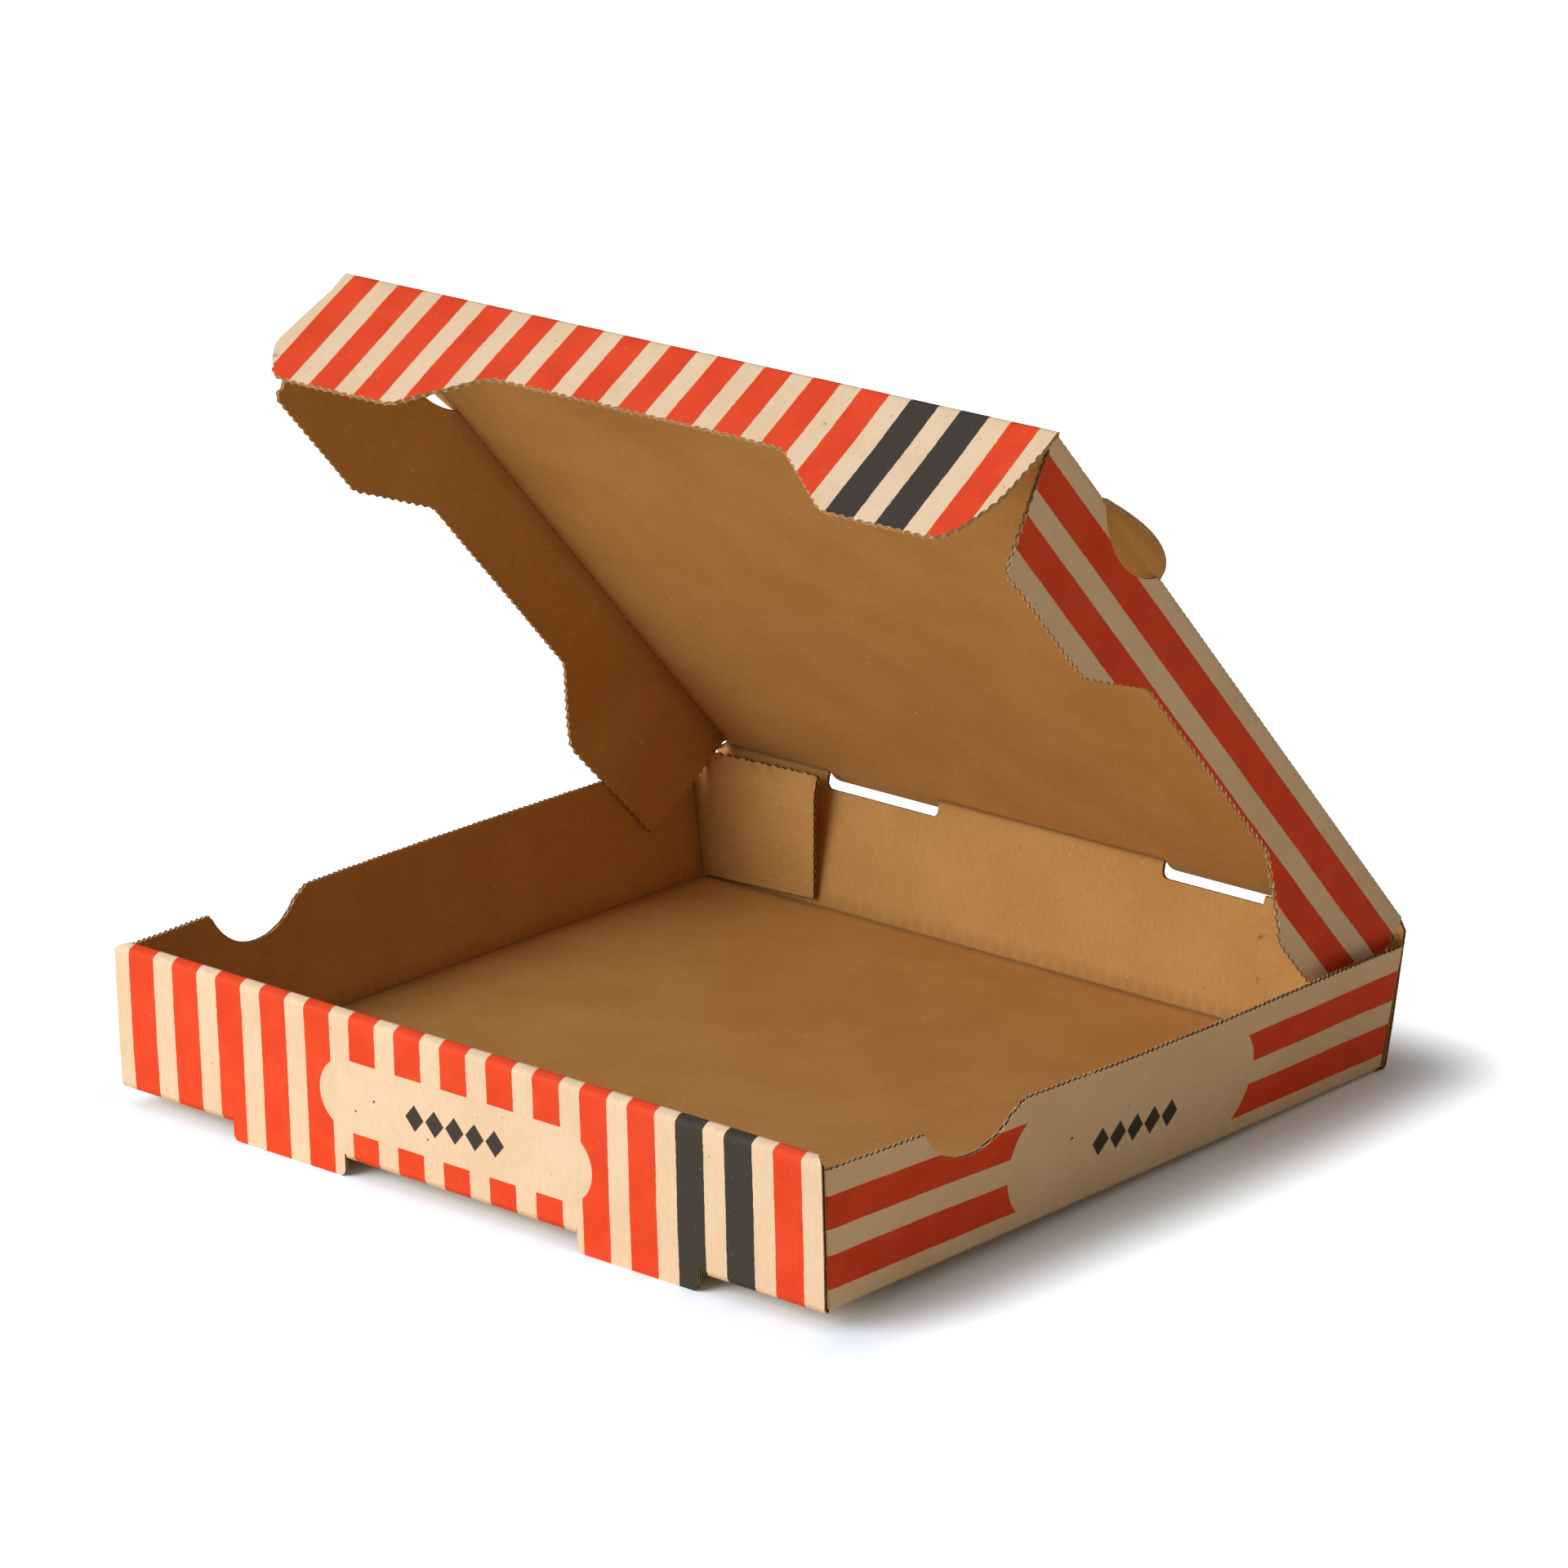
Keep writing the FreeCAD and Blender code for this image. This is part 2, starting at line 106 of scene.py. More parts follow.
# Tray: the back wall, its slots, and the feet under the front wall
BACK_HEIGHT = 52.1
BACK_TOP_LEFT = -155.0
BACK_TOP_RIGHT = 154.0
BACK_LEAN = math.radians(10.0)
EAR_WIDTH = 2.0
EAR_GAP = 0.4
FOOT_CENTRE = 76.5
FOOT_HALF = 25.5
FOOT_LENGTH = 6.1
FOOT_CORNER = 2.5
SLOT_HALF = 25.9
SLOT_DEPTH = 6.9
FOOT_SPANS = [(centre - FOOT_HALF, centre + FOOT_HALF) for centre in (-FOOT_CENTRE, FOOT_CENTRE)]
SLOT_SPANS = [(centre - SLOT_HALF, centre + SLOT_HALF) for centre in (-FOOT_CENTRE, FOOT_CENTRE)]

# Lid: its panel, flaps and finger tabs
LID_HALF = 151.8
LID_LENGTH = 298.4
LID_WIDER_REAR = 2.2
LID_WIDER_FRONT = 0.2
LID_OPENING = math.radians(45.95)
FLAP_DEPTH = 47.5
FLAP_RECESS = 29.5
FLAP_TIP = {-1: 15.5, 1: 11.6}
FRONT_DEPTH = 52.6
FRONT_RECESS = 32.2
FRONT_FLAP_SPLAY = math.radians(12.0)
FRONT_FLAP_TWIST = math.radians(2.0)
FINGER_ALONG = 237.2
FINGER_HALF = 22.4
FINGER_REACH = 8.4
FINGER_START = FINGER_ALONG - FINGER_HALF
FINGER_END = FINGER_ALONG + FINGER_HALF
HOLE_REACH = {-1: 7.4, 1: 10.2}
HINGE_Y = HALF_DEPTH - HALF + BACK_HEIGHT * math.sin(BACK_LEAN)
HINGE_Z = BACK_HEIGHT * math.cos(BACK_LEAN)
HINGE_MARGIN = 3.0
SEAM_X = LID_HALF - HALF - BEND

# Print: the stripes' pitch and width, and where the first one starts
STRIPE_PITCH = 20.126
STRIPE_WIDTH = 11.48
STRIPE_COUNT = 15
TRAY_STRIPE_START = -147.37
LID_STRIPE_START = -147.64
CHARCOAL_FIRST = 12
CHARCOAL_END = 14
STRIPE_WOBBLE = 0.5
WALL_WOBBLE = 0.4
WALL_STRIPES = ((7.85, 19.5), (28.4, 39.9))
WALL_PRINT_RISE = 1.2
PRINT_PAST_FOLD = 2.5
BASE_PRINT_FRONT = 2.9
BASE_PRINT_REAR = 1.0
FLAP_STRIPES = ((8.2, 19.8), (28.2, 39.4))

# Bare plates: centre, half length of the straight part, radius of the ends, and height
FRONT_PLATE = (-1.25, 46.75, 12.9, 23.6)
WALL_PLATE = (156.0, 44.0, 22.0, 24.0)
LID_PLATE_RADIUS = 88.0

# Rows of diamonds: first, pitch, number, lowest and highest point; and dark specks, place and radius
FRONT_DIAMONDS = (-23.0, 8.8, 5, 17.9, 28.3)
WALL_DIAMONDS = (133.5, 9.4, 5, 16.2, 27.6)
DIAMOND_SIZE = 0.46
FRONT_SPECKS = (((-36.5, 24.5), 0.45), ((-45.0, 19.0), 0.4), ((-13.0, 17.0), 0.4))
WALL_SPECKS = (((122.0, 27.5), 0.6),)

# The wave of the knife's edge, how it varies along the cut, and how wide a crease's painted shade is
WAVE_PITCH = 3.8
WAVE_HEIGHT = 0.40
WALL_WAVE_PITCH = 2.7
WALL_WAVE_HEIGHT = 0.33
WAVE_POINTS = 7
WAVE_KNOT = 2.2
WAVE_SLIP = 0.35
WAVE_STRENGTH = (0.6, 1.2)
OVERTONE = 0.22
OVERTONE_PHASE = 1.1
CREASE_WIDTH = 1.3
NO_CREASE = 9.0

# How finely a sheet is divided
GRID_SPACING = 6.0
FLAP_SPACING = 5.0
ROW_SPACING = 3.0
ROW_START = 1.0
BORDER_CLEARANCE = 0.45
CUT_STEP = 1.0
SEAM_STEP = 3.0
MERGE_DISTANCE = 1e-5
SMALLEST_AREA = 1e-9

# The unevenness of the board: wavelengths and heights
RIPPLES = ((230, 0.22), (110, 0.13), (55, 0.06), (26, 0.03))
FRONT_RIPPLE = 0.7
FLAP_RIPPLE = 1.2

# Where the unevenness fades out towards folds and locked edges
FRONT_FADE_LOW = 25
FRONT_FADE_TOP = (56, 45)
BACK_FADE_LOW = 20
BACK_FADE_TOP = 35
WALL_FADE_UP = (3, 20)
WALL_FADE_ENDS = (150, 130)
PANEL_FADE_SIDE = 120
PANEL_FADE_REAR = (4, 40)
PANEL_FADE_FRONT = 40
FRONT_FLAP_FADE = (3, 25)
SIDE_FLAP_FADE = (3, 22)

# Seeds of the unevenness of each sheet and of the wave of each cut
RIPPLE_SEED = {"front": 3, "base": 5, "panel": 7, "wall": 11, "flap": 51}
WAVE_SEED = {"corner": 14, "rear": 20, "front": 30, "panel": 41, "flap": 60}

# Camera: found from the box's own corners in the photograph
CAMERA_AZIMUTH = math.radians(39.107)
CAMERA_ELEVATION = math.radians(17.66)
CAMERA_ROLL = math.radians(1.18)
CAMERA_DISTANCE = 2386.85
CAMERA_AIM = Vector((0, 0, 80))
CAMERA_RIGHT = 6.7
CAMERA_UP = 24.6
CAMERA_LENS = 161.26
CAMERA_SENSOR = 36
CAMERA_CLIP = 0.05


def new_object(name, data):
    made = bpy.data.objects.new(name, data)
    bpy.context.collection.objects.link(made)
    return made


def make_camera():
    back = Vector((
        math.sin(CAMERA_AZIMUTH) * math.cos(CAMERA_ELEVATION),
        -math.cos(CAMERA_AZIMUTH) * math.cos(CAMERA_ELEVATION),
        math.sin(CAMERA_ELEVATION),
    ))
    level = (-back).cross(Vector((0, 0, 1))).normalized()
    upright = level.cross(-back)
    right = level * math.cos(CAMERA_ROLL) + upright * math.sin(CAMERA_ROLL)
    up = upright * math.cos(CAMERA_ROLL) - level * math.sin(CAMERA_ROLL)
    place = (CAMERA_AIM + back * CAMERA_DISTANCE + right * CAMERA_RIGHT + up * CAMERA_UP) * MM
    data = bpy.data.cameras.new("camera")
    data.lens = CAMERA_LENS
    data.sensor_width = CAMERA_SENSOR
    data.clip_start = CAMERA_CLIP
    camera = new_object("camera", data)
    turn = Matrix((right, up, back)).transposed()
    camera.matrix_world = Matrix.Translation(place) @ turn.to_4x4()
    bpy.context.scene.camera = camera


make_camera()


# Outlines: closed loops of legs, each cut straight, cut with the wavy knife, or joined to the next sheet
def rounded(points, radii, count=7):
    """An open line with its inner corners rounded."""
    made = [np.array(points[0], float)]
    for before, corner, after, radius in zip(points, points[1:], points[2:], radii):
        corner = np.array(corner, float)
        u = np.array(before, float) - corner
        v = np.array(after, float) - corner
        u /= np.linalg.norm(u)
        v /= np.linalg.norm(v)
        half = math.acos(max(-1.0, min(1.0, float(u @ v)))) / 2
        if radius <= 0 or half > math.pi / 2 - 0.01:
            made.append(corner)
            continue
        centre = corner + (u + v) / np.linalg.norm(u + v) * radius / math.sin(half)
        start = corner + u * radius / math.tan(half) - centre
        end = corner + v * radius / math.tan(half) - centre
        first = math.atan2(start[1], start[0])
        swept = math.atan2(end[1], end[0]) - first
        swept = (swept + math.pi) % (2 * math.pi) - math.pi
        for k in range(count + 1):
            angle = first + swept * k / count
            made.append(centre + radius * np.array((math.cos(angle), math.sin(angle))))
    made.append(np.array(points[-1], float))
    return made


def arc(centre, radius, first, last, count=24):
    """Points on an arc, angles in degrees."""
    angles = np.radians(np.linspace(first, last, count + 1))
    return [(centre[0] + radius * math.cos(a), centre[1] + radius * math.sin(a)) for a in angles]


def divided(points, step):
    """A line with points no further apart than step."""
    made = [np.array(points[0], float)]
    for a, b in zip(points, points[1:]):
        a, b = np.array(a, float), np.array(b, float)
        count = max(1, int(math.ceil(np.linalg.norm(b - a) / step)))
        made += [a + (b - a) * k / count for k in range(1, count + 1)]
    return np.array(made)


def wavy(points, seed, height, pitch):
    """The line of the wavy knife: a wave of slightly uneven pitch and height across the leg."""
    points = np.array(points, float)
    lengths = np.r_[0, np.cumsum(np.linalg.norm(np.diff(points, axis=0), axis=1))]
    total = lengths[-1]
    count = max(2, int(round(total / (pitch / WAVE_POINTS))))
    at = np.linspace(0, total, count + 1)
    line = np.c_[np.interp(at, lengths, points[:, 0]), np.interp(at, lengths, points[:, 1])]
    along = np.gradient(line, axis=0)
    along /= np.linalg.norm(along, axis=1)[:, None]
    across = np.c_[-along[:, 1], along[:, 0]]
    rng = np.random.default_rng(seed)
    knots = np.arange(0, total + 3 * pitch, WAVE_KNOT * pitch)
    slip = np.interp(at, knots, rng.normal(0, WAVE_SLIP, len(knots)))
    strength = np.interp(at, knots, rng.uniform(*WAVE_STRENGTH, len(knots)))
    fade = np.clip(np.minimum(at, total - at) / pitch, 0, 1)
    phase = 2 * math.pi * at / pitch
    wave = np.sin(phase + slip) + OVERTONE * np.sin(2 * phase + OVERTONE_PHASE)
    return line + across * (wave * strength * height * fade)[:, None]


def mirrored(line):
    return [(-x, t) for x, t in reversed(line)]


def notched(start, end, level, spans, depth, corner=FOOT_CORNER):
    """Seams at a level from start to end, with a cut slot or tab to a depth at each of the spans."""
    legs = []
    for first, last in spans:
        line = [(first, level), (first, depth), (last, depth), (last, level)]
        legs.append(("seam", [(start, level), (first, level)]))
        legs.append(("cut", rounded(line, [corner, corner])))
        start = last
    return legs + [("seam", [(start, level), (end, level)])]


def closed(*legs):
    """One loop from its legs: each a kind and points, and for a wave its seed, height and pitch."""
    points, kinds = [], []
    for kind, line, *wave in legs:
        if kind == "wave":
            line = wavy(line, *wave)
        else:
            line = divided(line, CUT_STEP if kind == "cut" else SEAM_STEP)
        points += list(line[:-1])
        kinds += [kind] * (len(line) - 1)
    return np.array(points), kinds


def inside(points, loops):
    """Which points lie within the outline and outside its holes."""
    result = np.zeros(len(points), bool)
    for loop, _ in loops:
        ends = np.roll(loop, -1, axis=0)
        for (ax, ay), (bx, by) in zip(loop, ends):
            if ay == by:
                continue
            crosses = (points[:, 1] < ay) != (points[:, 1] < by)
            where = (bx - ax) * (points[:, 1] - ay) / (by - ay) + ax
            result ^= crosses & (points[:, 0] < where)
    return result


def grid_points(loops, border, rows, columns, spacing):
    """Points inside the outline and clear of its border, closer along the rows and columns of a bend."""
    low, high = border.min(0), border.max(0)
    across = np.arange(low[0] + spacing / 2, high[0], spacing)
    along = np.arange(low[1] + spacing / 2, high[1], spacing)
    grid = [(a, b) for a in across for b in along]
    grid += [(a, row) for row in rows for a in np.arange(low[0] + ROW_START, high[0], ROW_SPACING)]
    grid += [(column, b) for column in columns for b in np.arange(low[1] + ROW_START, high[1], ROW_SPACING)]
    grid = np.array(grid)
    grid = grid[inside(grid, loops)]
    tree = kdtree.KDTree(len(border))
    for number, point in enumerate(border):
        tree.insert((point[0], point[1], 0), number)
    tree.balance()
    return np.array([p for p in grid if tree.find((p[0], p[1], 0))[2] > BORDER_CLEARANCE])


def triangulated(loops, rows, columns, spacing):
    """The outline in triangles: points, triangles, each point's border point, and the border edges' kinds."""
    border = np.concatenate([loop for loop, _ in loops])
    edges, kinds = [], {}
    first = 0
    for loop, marks in loops:
        for k, mark in enumerate(marks):
            pair = (first + k, first + (k + 1) % len(loop))
            edges.append(pair)
            kinds[frozenset(pair)] = mark
        first += len(loop)
    flat = np.concatenate([border, grid_points(loops, border, rows, columns, spacing)])
    found = delaunay_2d_cdt([Vector(p) for p in flat], edges, [], 0, MERGE_DISTANCE)
    points = np.array([tuple(v) for v in found[0]])
    source = [origins[0] if origins else -1 for origins in found[3]]
    triangles = np.array([face for face in found[2] if len(face) == 3])
    triangles = triangles[inside(points[triangles].mean(1), loops)]
    a, b, c = (points[triangles[:, k]] for k in range(3))
    area = (b[:, 0] - a[:, 0]) * (c[:, 1] - a[:, 1]) - (b[:, 1] - a[:, 1]) * (c[:, 0] - a[:, 0])
    triangles = triangles[np.abs(area) > SMALLEST_AREA]
    area = area[np.abs(area) > SMALLEST_AREA]
    wrong = area < 0
    triangles[wrong] = triangles[wrong][:, ::-1]
    used = np.unique(triangles)
    renumber = np.full(len(points), -1)
    renumber[used] = np.arange(len(used))
    return points[used], renumber[triangles], [source[k] for k in used], kinds


def board_faces(triangles, count, source, kinds, flip):
    """The faces of a sheet's two sides and cut edges, the material slot of each, and the sharp edges."""
    order = (0, 2, 1) if flip else (0, 1, 2)
    faces = [[int(triangle[k]) for k in order] for triangle in triangles]
    faces += [[point + count for point in reversed(face)] for face in faces]
    slots = [0] * len(triangles) + [1] * len(triangles)
    owners = {}
    for triangle in triangles:
        for k in range(3):
            pair = (int(triangle[k]), int(triangle[(k + 1) % 3]))
            owners[frozenset(pair)] = None if frozenset(pair) in owners else pair
    sharp = set()
    for pair in owners.values():
        if pair is None:
            continue
        a, b = pair
        if kinds.get(frozenset((source[a], source[b]))) == "seam":
            continue
        wall = [a + count, b + count, b, a]
        faces.append(wall[::-1] if flip else wall)
        slots.append(2)
        sharp.add((min(a, b), max(a, b)))
        sharp.add((min(a, b) + count, max(a, b) + count))
    return faces, slots, sharp


def board_marks(mesh, across, along, distance, sharp):
    """What the materials read: the print's coordinates with the side, and how near the nearest crease is."""
    count = len(across)
    laid = np.zeros((2 * count, 3), np.float32)
    laid[:, 0] = np.tile(across, 2)
    laid[:, 1] = np.tile(along, 2)
    laid[:count, 2] = 1
    laid[count:, 2] = -1
    mesh.attributes.new("blank", "FLOAT_VECTOR", "POINT").data.foreach_set("vector", laid.ravel())
    near = np.tile(np.exp(-(distance / CREASE_WIDTH) ** 2), 2).astype(np.float32)
    mesh.attributes.new("crease", "FLOAT", "POINT").data.foreach_set("value", near)
    ends = np.empty(len(mesh.edges) * 2, int)
    mesh.edges.foreach_get("vertices", ends)
    ends = np.sort(ends.reshape(-1, 2), axis=1)
    edges = mesh.attributes.new("sharp_edge", "BOOLEAN", "EDGE")
    edges.data.foreach_set("value", [tuple(pair) in sharp for pair in ends.tolist()])


def sheet(
    name, body, loops, place, blank, folds, materials, rows=(), columns=(), spacing=GRID_SPACING, flip=False
):
    """A sheet of board: the flat outline is divided, laid out by place, and given its thickness.

    place gives the middle surface and its outward normal, blank the print's own coordinates,
    and folds how far each point is from the nearest crease."""
    points, triangles, source, kinds = triangulated(loops, rows, columns, spacing)
    surface, normal = place(points[:, 0], points[:, 1])
    both = np.concatenate([surface + normal * HALF, surface - normal * HALF])
    faces, slots, sharp = board_faces(triangles, len(points), source, kinds, flip)
    mesh = bpy.data.meshes.new(name)
    mesh.from_pydata((both * MM).tolist(), [], faces)
    for material in materials:
        mesh.materials.append(material)
    mesh.polygons.foreach_set("material_index", slots)
    mesh.shade_smooth()
    across, along = blank(points[:, 0], points[:, 1])
    board_marks(mesh, across, along, folds(points[:, 0], points[:, 1]), sharp)
    mesh.update()
    made = new_object(name, mesh)
    if body:
        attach(made, body)
    return made


# Folding: how a flat sheet runs through straight and bent pieces
def run(length, pieces, start, heading):
    """Points and headings at lengths along a line of pieces, each a length and the turn it makes."""
    first = np.zeros_like(length) + start[0]
    second = np.zeros_like(length) + start[1]
    angle = np.zeros_like(length) + heading
    passed = 0.0
    for number, (piece, turn) in enumerate(pieces):
        low = -math.inf if number == 0 else 0.0
        part = np.maximum(length - passed, low)
        if number < len(pieces) - 1:
            part = np.minimum(part, piece)
        swept = turn * part / piece
        chord = part * np.sinc(swept / (2 * math.pi))
        first = first + chord * np.cos(angle + swept / 2)
        second = second + chord * np.sin(angle + swept / 2)
        angle = angle + swept
        passed = passed + piece
    return first, second, angle


def eased(value, low, high):
    """A smooth step from 0 at low to 1 at high."""
    t = np.clip((value - low) / (high - low), 0, 1)
    return t * t * (3 - 2 * t)


def ripple(across, along, seed):
    """The slight unevenness of a sheet of board, in millimetres."""
    rng = np.random.default_rng(seed)
    total = np.zeros_like(across)
    for wavelength, strength in RIPPLES:
        for _ in range(2):
            angle = rng.uniform(0, math.pi)
            phase = rng.uniform(0, 2 * math.pi)
            way = across * math.cos(angle) + along * math.sin(angle)
            total += strength * np.sin(2 * math.pi * way / wavelength + phase)
    return total


# The front wall's sheet: from its feet upwards, over the roll, and down inside
ROLL_SLOPE = math.atan2(RIDGE_RISE, RIDGE_DEPTH)
ROLL_BEND = 1.25
ROLL_FRONT_UP = FRONT_HEIGHT + HALF * math.tan(ROLL_SLOPE) - HALF / math.cos(ROLL_SLOPE)
ROLL_REAR_UP = ROLL_FRONT_UP + (RIDGE_DEPTH - BOARD) * math.tan(ROLL_SLOPE)
ROLL_SPAN = (RIDGE_DEPTH - BOARD) / math.cos(ROLL_SLOPE)
ROLL_TURN_1 = math.pi / 2 - ROLL_SLOPE
ROLL_TURN_2 = math.pi / 2 + ROLL_SLOPE
ROLL_REACH_1 = ROLL_BEND * math.tan(ROLL_TURN_1 / 2)
ROLL_REACH_2 = ROLL_BEND * math.tan(ROLL_TURN_2 / 2)
FRONT_STRAIGHT = FOOT_LENGTH + ROLL_FRONT_UP - ROLL_REACH_1
FRONT_RUN = [
    (FRONT_STRAIGHT, 0),
    (ROLL_BEND * ROLL_TURN_1, -ROLL_TURN_1),
    (ROLL_SPAN - ROLL_REACH_1 - ROLL_REACH_2, 0),
    (ROLL_BEND * ROLL_TURN_2, -ROLL_TURN_2),
    (ROLL_REAR_UP, 0),
]
ROLL_START = FRONT_STRAIGHT
ROLL_END = sum(length for length, _ in FRONT_RUN[:4])
INNER_BOTTOM = ROLL_END + ROLL_REAR_UP - ROLL_REACH_2 - BOARD - TAB_GAP
FRONT_TURN = math.pi / 2 - FRONT_LEAN
SEAM_UP = (HALF + BEND * (1 - math.cos(FRONT_TURN)) - HALF * math.sin(FRONT_LEAN)) / math.cos(FRONT_LEAN)
SEAM_Y = -HALF_DEPTH + HALF * math.cos(FRONT_LEAN) - SEAM_UP * math.sin(FRONT_LEAN)


def front_place(x, t):
    depth, up, angle = run(t, FRONT_RUN, (HALF, -FOOT_LENGTH), math.pi / 2)
    out_depth, out_up = -np.sin(angle), np.cos(angle)
    lift = ripple(x, t, RIPPLE_SEED["front"]) * eased(t, SEAM_UP + FOOT_LENGTH, FRONT_FADE_LOW)
    lift = lift * eased(t, *FRONT_FADE_TOP) * FRONT_RIPPLE
    depth = depth + out_depth * lift
    up = up + out_up * lift
    cos, sin = math.cos(FRONT_LEAN), math.sin(FRONT_LEAN)
    points = np.c_[x, -HALF_DEPTH + depth * cos - up * sin, depth * sin + up * cos]
    return points, np.c_[np.zeros_like(x), out_depth * cos - out_up * sin, out_depth * sin + out_up * cos]


def front_blank(x, t):
    return x, -HALF_DEPTH - (t - FOOT_LENGTH)


def front_folds(x, t):
    return np.full_like(x, NO_CREASE)


def front_loops():
    """The front wall with its feet, the roll over its top and the inner panel with its lock tabs."""
    seam = SEAM_UP + FOOT_LENGTH
    legs = notched(-HALF_WIDTH, HALF_WIDTH, seam, FOOT_SPANS, 0)
    top = ROLL_START + TAPER_START
    rear = ROLL_END - TAPER_END
    corners = [(HALF_WIDTH, seam), (HALF_WIDTH, top), (RIDGE_HALF, rear), (RIDGE_HALF, INNER_BOTTOM)]
    legs.append(("cut", rounded(corners, [RIDGE_CORNER, RIDGE_CORNER])))
    bottom = [(RIDGE_HALF, INNER_BOTTOM)]
    reach = INNER_BOTTOM + BOARD
    for side in (1, -1):
        outer, inner = FOOT_CENTRE + LOCK_HALF, FOOT_CENTRE - LOCK_HALF
        first, last = (outer, inner) if side > 0 else (-inner, -outer)
        bottom += [(first, INNER_BOTTOM), (first, reach), (last, reach), (last, INNER_BOTTOM)]
    bottom.append((-RIDGE_HALF, INNER_BOTTOM))
    legs.append(("cut", bottom))
    legs.append(("cut", rounded(mirrored(corners), [RIDGE_CORNER, RIDGE_CORNER])))
    return [closed(*legs)]


# The base with its front bend and the leaning back wall
BACK_TURN = math.pi / 2 - BACK_LEAN
FRONT_BEND_LENGTH = BEND * FRONT_TURN
BASE_START_Y = SEAM_Y + BEND * math.sin(FRONT_TURN)
BACK_REACH = BEND * math.tan(BACK_TURN / 2)
BASE_END_Y = HALF_DEPTH - HALF + HALF * math.tan(BACK_LEAN) - BACK_REACH
BASE_LENGTH = BASE_END_Y - BASE_START_Y
BACK_BEND_START = FRONT_BEND_LENGTH + BASE_LENGTH
BACK_BEND_END = BACK_BEND_START + BEND * BACK_TURN
BACK_FOOT_UP = HALF / math.cos(BACK_LEAN) + BACK_REACH
BASE_RUN = [
    (FRONT_BEND_LENGTH, FRONT_TURN),
    (BASE_LENGTH, 0),
    (BEND * BACK_TURN, BACK_TURN),
    (OPEN_LENGTH, 0),
]
BASE_SIDE = HALF_WIDTH - HALF - BEND
WALL_TURN = BEND * math.pi / 2
WALL_REAR = CORNER_PLANE - BEND
BACK_BLANK_SHIFT = 2.1
WALL_BLANK_SHIFT = 2.29


def back_length(up):
    """The length along the base's run of a height up the back wall."""
    return BACK_BEND_END + up - BACK_FOOT_UP


def base_place(x, t):
    y, z, angle = run(t, BASE_RUN, (SEAM_Y, HALF + BEND * (1 - math.cos(FRONT_TURN))), -FRONT_TURN)
    out_y, out_z = np.sin(angle), -np.cos(angle)
    fade = eased(t, BACK_BEND_END, BACK_BEND_END + BACK_FADE_LOW)
    fade = fade * eased(t, back_length(BACK_HEIGHT - HINGE_MARGIN), back_length(BACK_FADE_TOP))
    lift = ripple(x, t, RIPPLE_SEED["base"]) * fade
    return np.c_[x, y + out_y * lift, z + out_z * lift], np.c_[np.zeros_like(x), out_y, out_z]


def base_blank(x, t):
    base = t - FRONT_BEND_LENGTH + BASE_START_Y
    wall = t - BACK_BEND_END + HALF_DEPTH + BACK_BLANK_SHIFT
    return x, np.where(t < BACK_BEND_START, base, wall)


def base_folds(x, t):
    front = np.abs(t - FRONT_BEND_LENGTH / 2)
    rear = np.abs(t - (BACK_BEND_START + BACK_BEND_END) / 2)
    level = (t > FRONT_BEND_LENGTH) & (t < BACK_BEND_START)
    side = np.where(level, BASE_SIDE + WALL_TURN / 2 - np.abs(x), NO_CREASE)
    return np.minimum(np.minimum(front, rear), side)


def base_loops():
    """The base with the back wall: around from the front edge's slots to the slots at the hinge."""
    edge = HALF_WIDTH - CORNER_GAP
    slot_y = FRONT_BEND_LENGTH + (-HALF_DEPTH + FOOT_LENGTH) - BASE_START_Y
    corner = FRONT_BEND_LENGTH + CORNER_GAP
    ear = FRONT_BEND_LENGTH + WALL_REAR - EAR_GAP - BASE_START_Y
    bend = BACK_BEND_START - CORNER_GAP
    top = back_length(BACK_HEIGHT - HINGE_MARGIN)
    low = back_length(BACK_HEIGHT - SLOT_DEPTH)
    legs = notched(-edge, edge, 0, SLOT_SPANS, slot_y, 0)
    legs.append(("cut", [(edge, 0), (edge, corner), (BASE_SIDE, corner)]))
    legs.append(("seam", [(BASE_SIDE, corner), (BASE_SIDE, ear)]))
    rear = [(BASE_SIDE, ear), (BASE_SIDE + EAR_WIDTH, ear), (HALF_WIDTH, bend)]
    legs.append(("cut", rear + [(BACK_TOP_RIGHT, top)]))
    slots = [(right, left) for left, right in reversed(SLOT_SPANS)]
    legs += notched(BACK_TOP_RIGHT, BACK_TOP_LEFT, top, slots, low)
    legs.append(("cut", [(BACK_TOP_LEFT, top)] + mirrored(rear)))
    legs.append(("seam", [(-BASE_SIDE, ear), (-BASE_SIDE, corner)]))
    legs.append(("cut", [(-BASE_SIDE, corner), (-edge, corner), (-edge, 0)]))
    return [closed(*legs)]


# A side wall with its locked front tab and its rear corner flap
SPLAY_CURVE = np.polyfit((-HALF_DEPTH, 0, CORNER_PLANE), (0, SPLAY_MIDDLE, SPLAY_REAR), 2)


def wall_lean(y):
    return np.arctan(np.maximum(np.polyval(SPLAY_CURVE, y), 0) / SIDE_HEIGHT)


def wall_front(t):
    return -HALF_DEPTH + BOARD + HALF + TAB_GAP + BEND - t * math.tan(FRONT_LEAN)


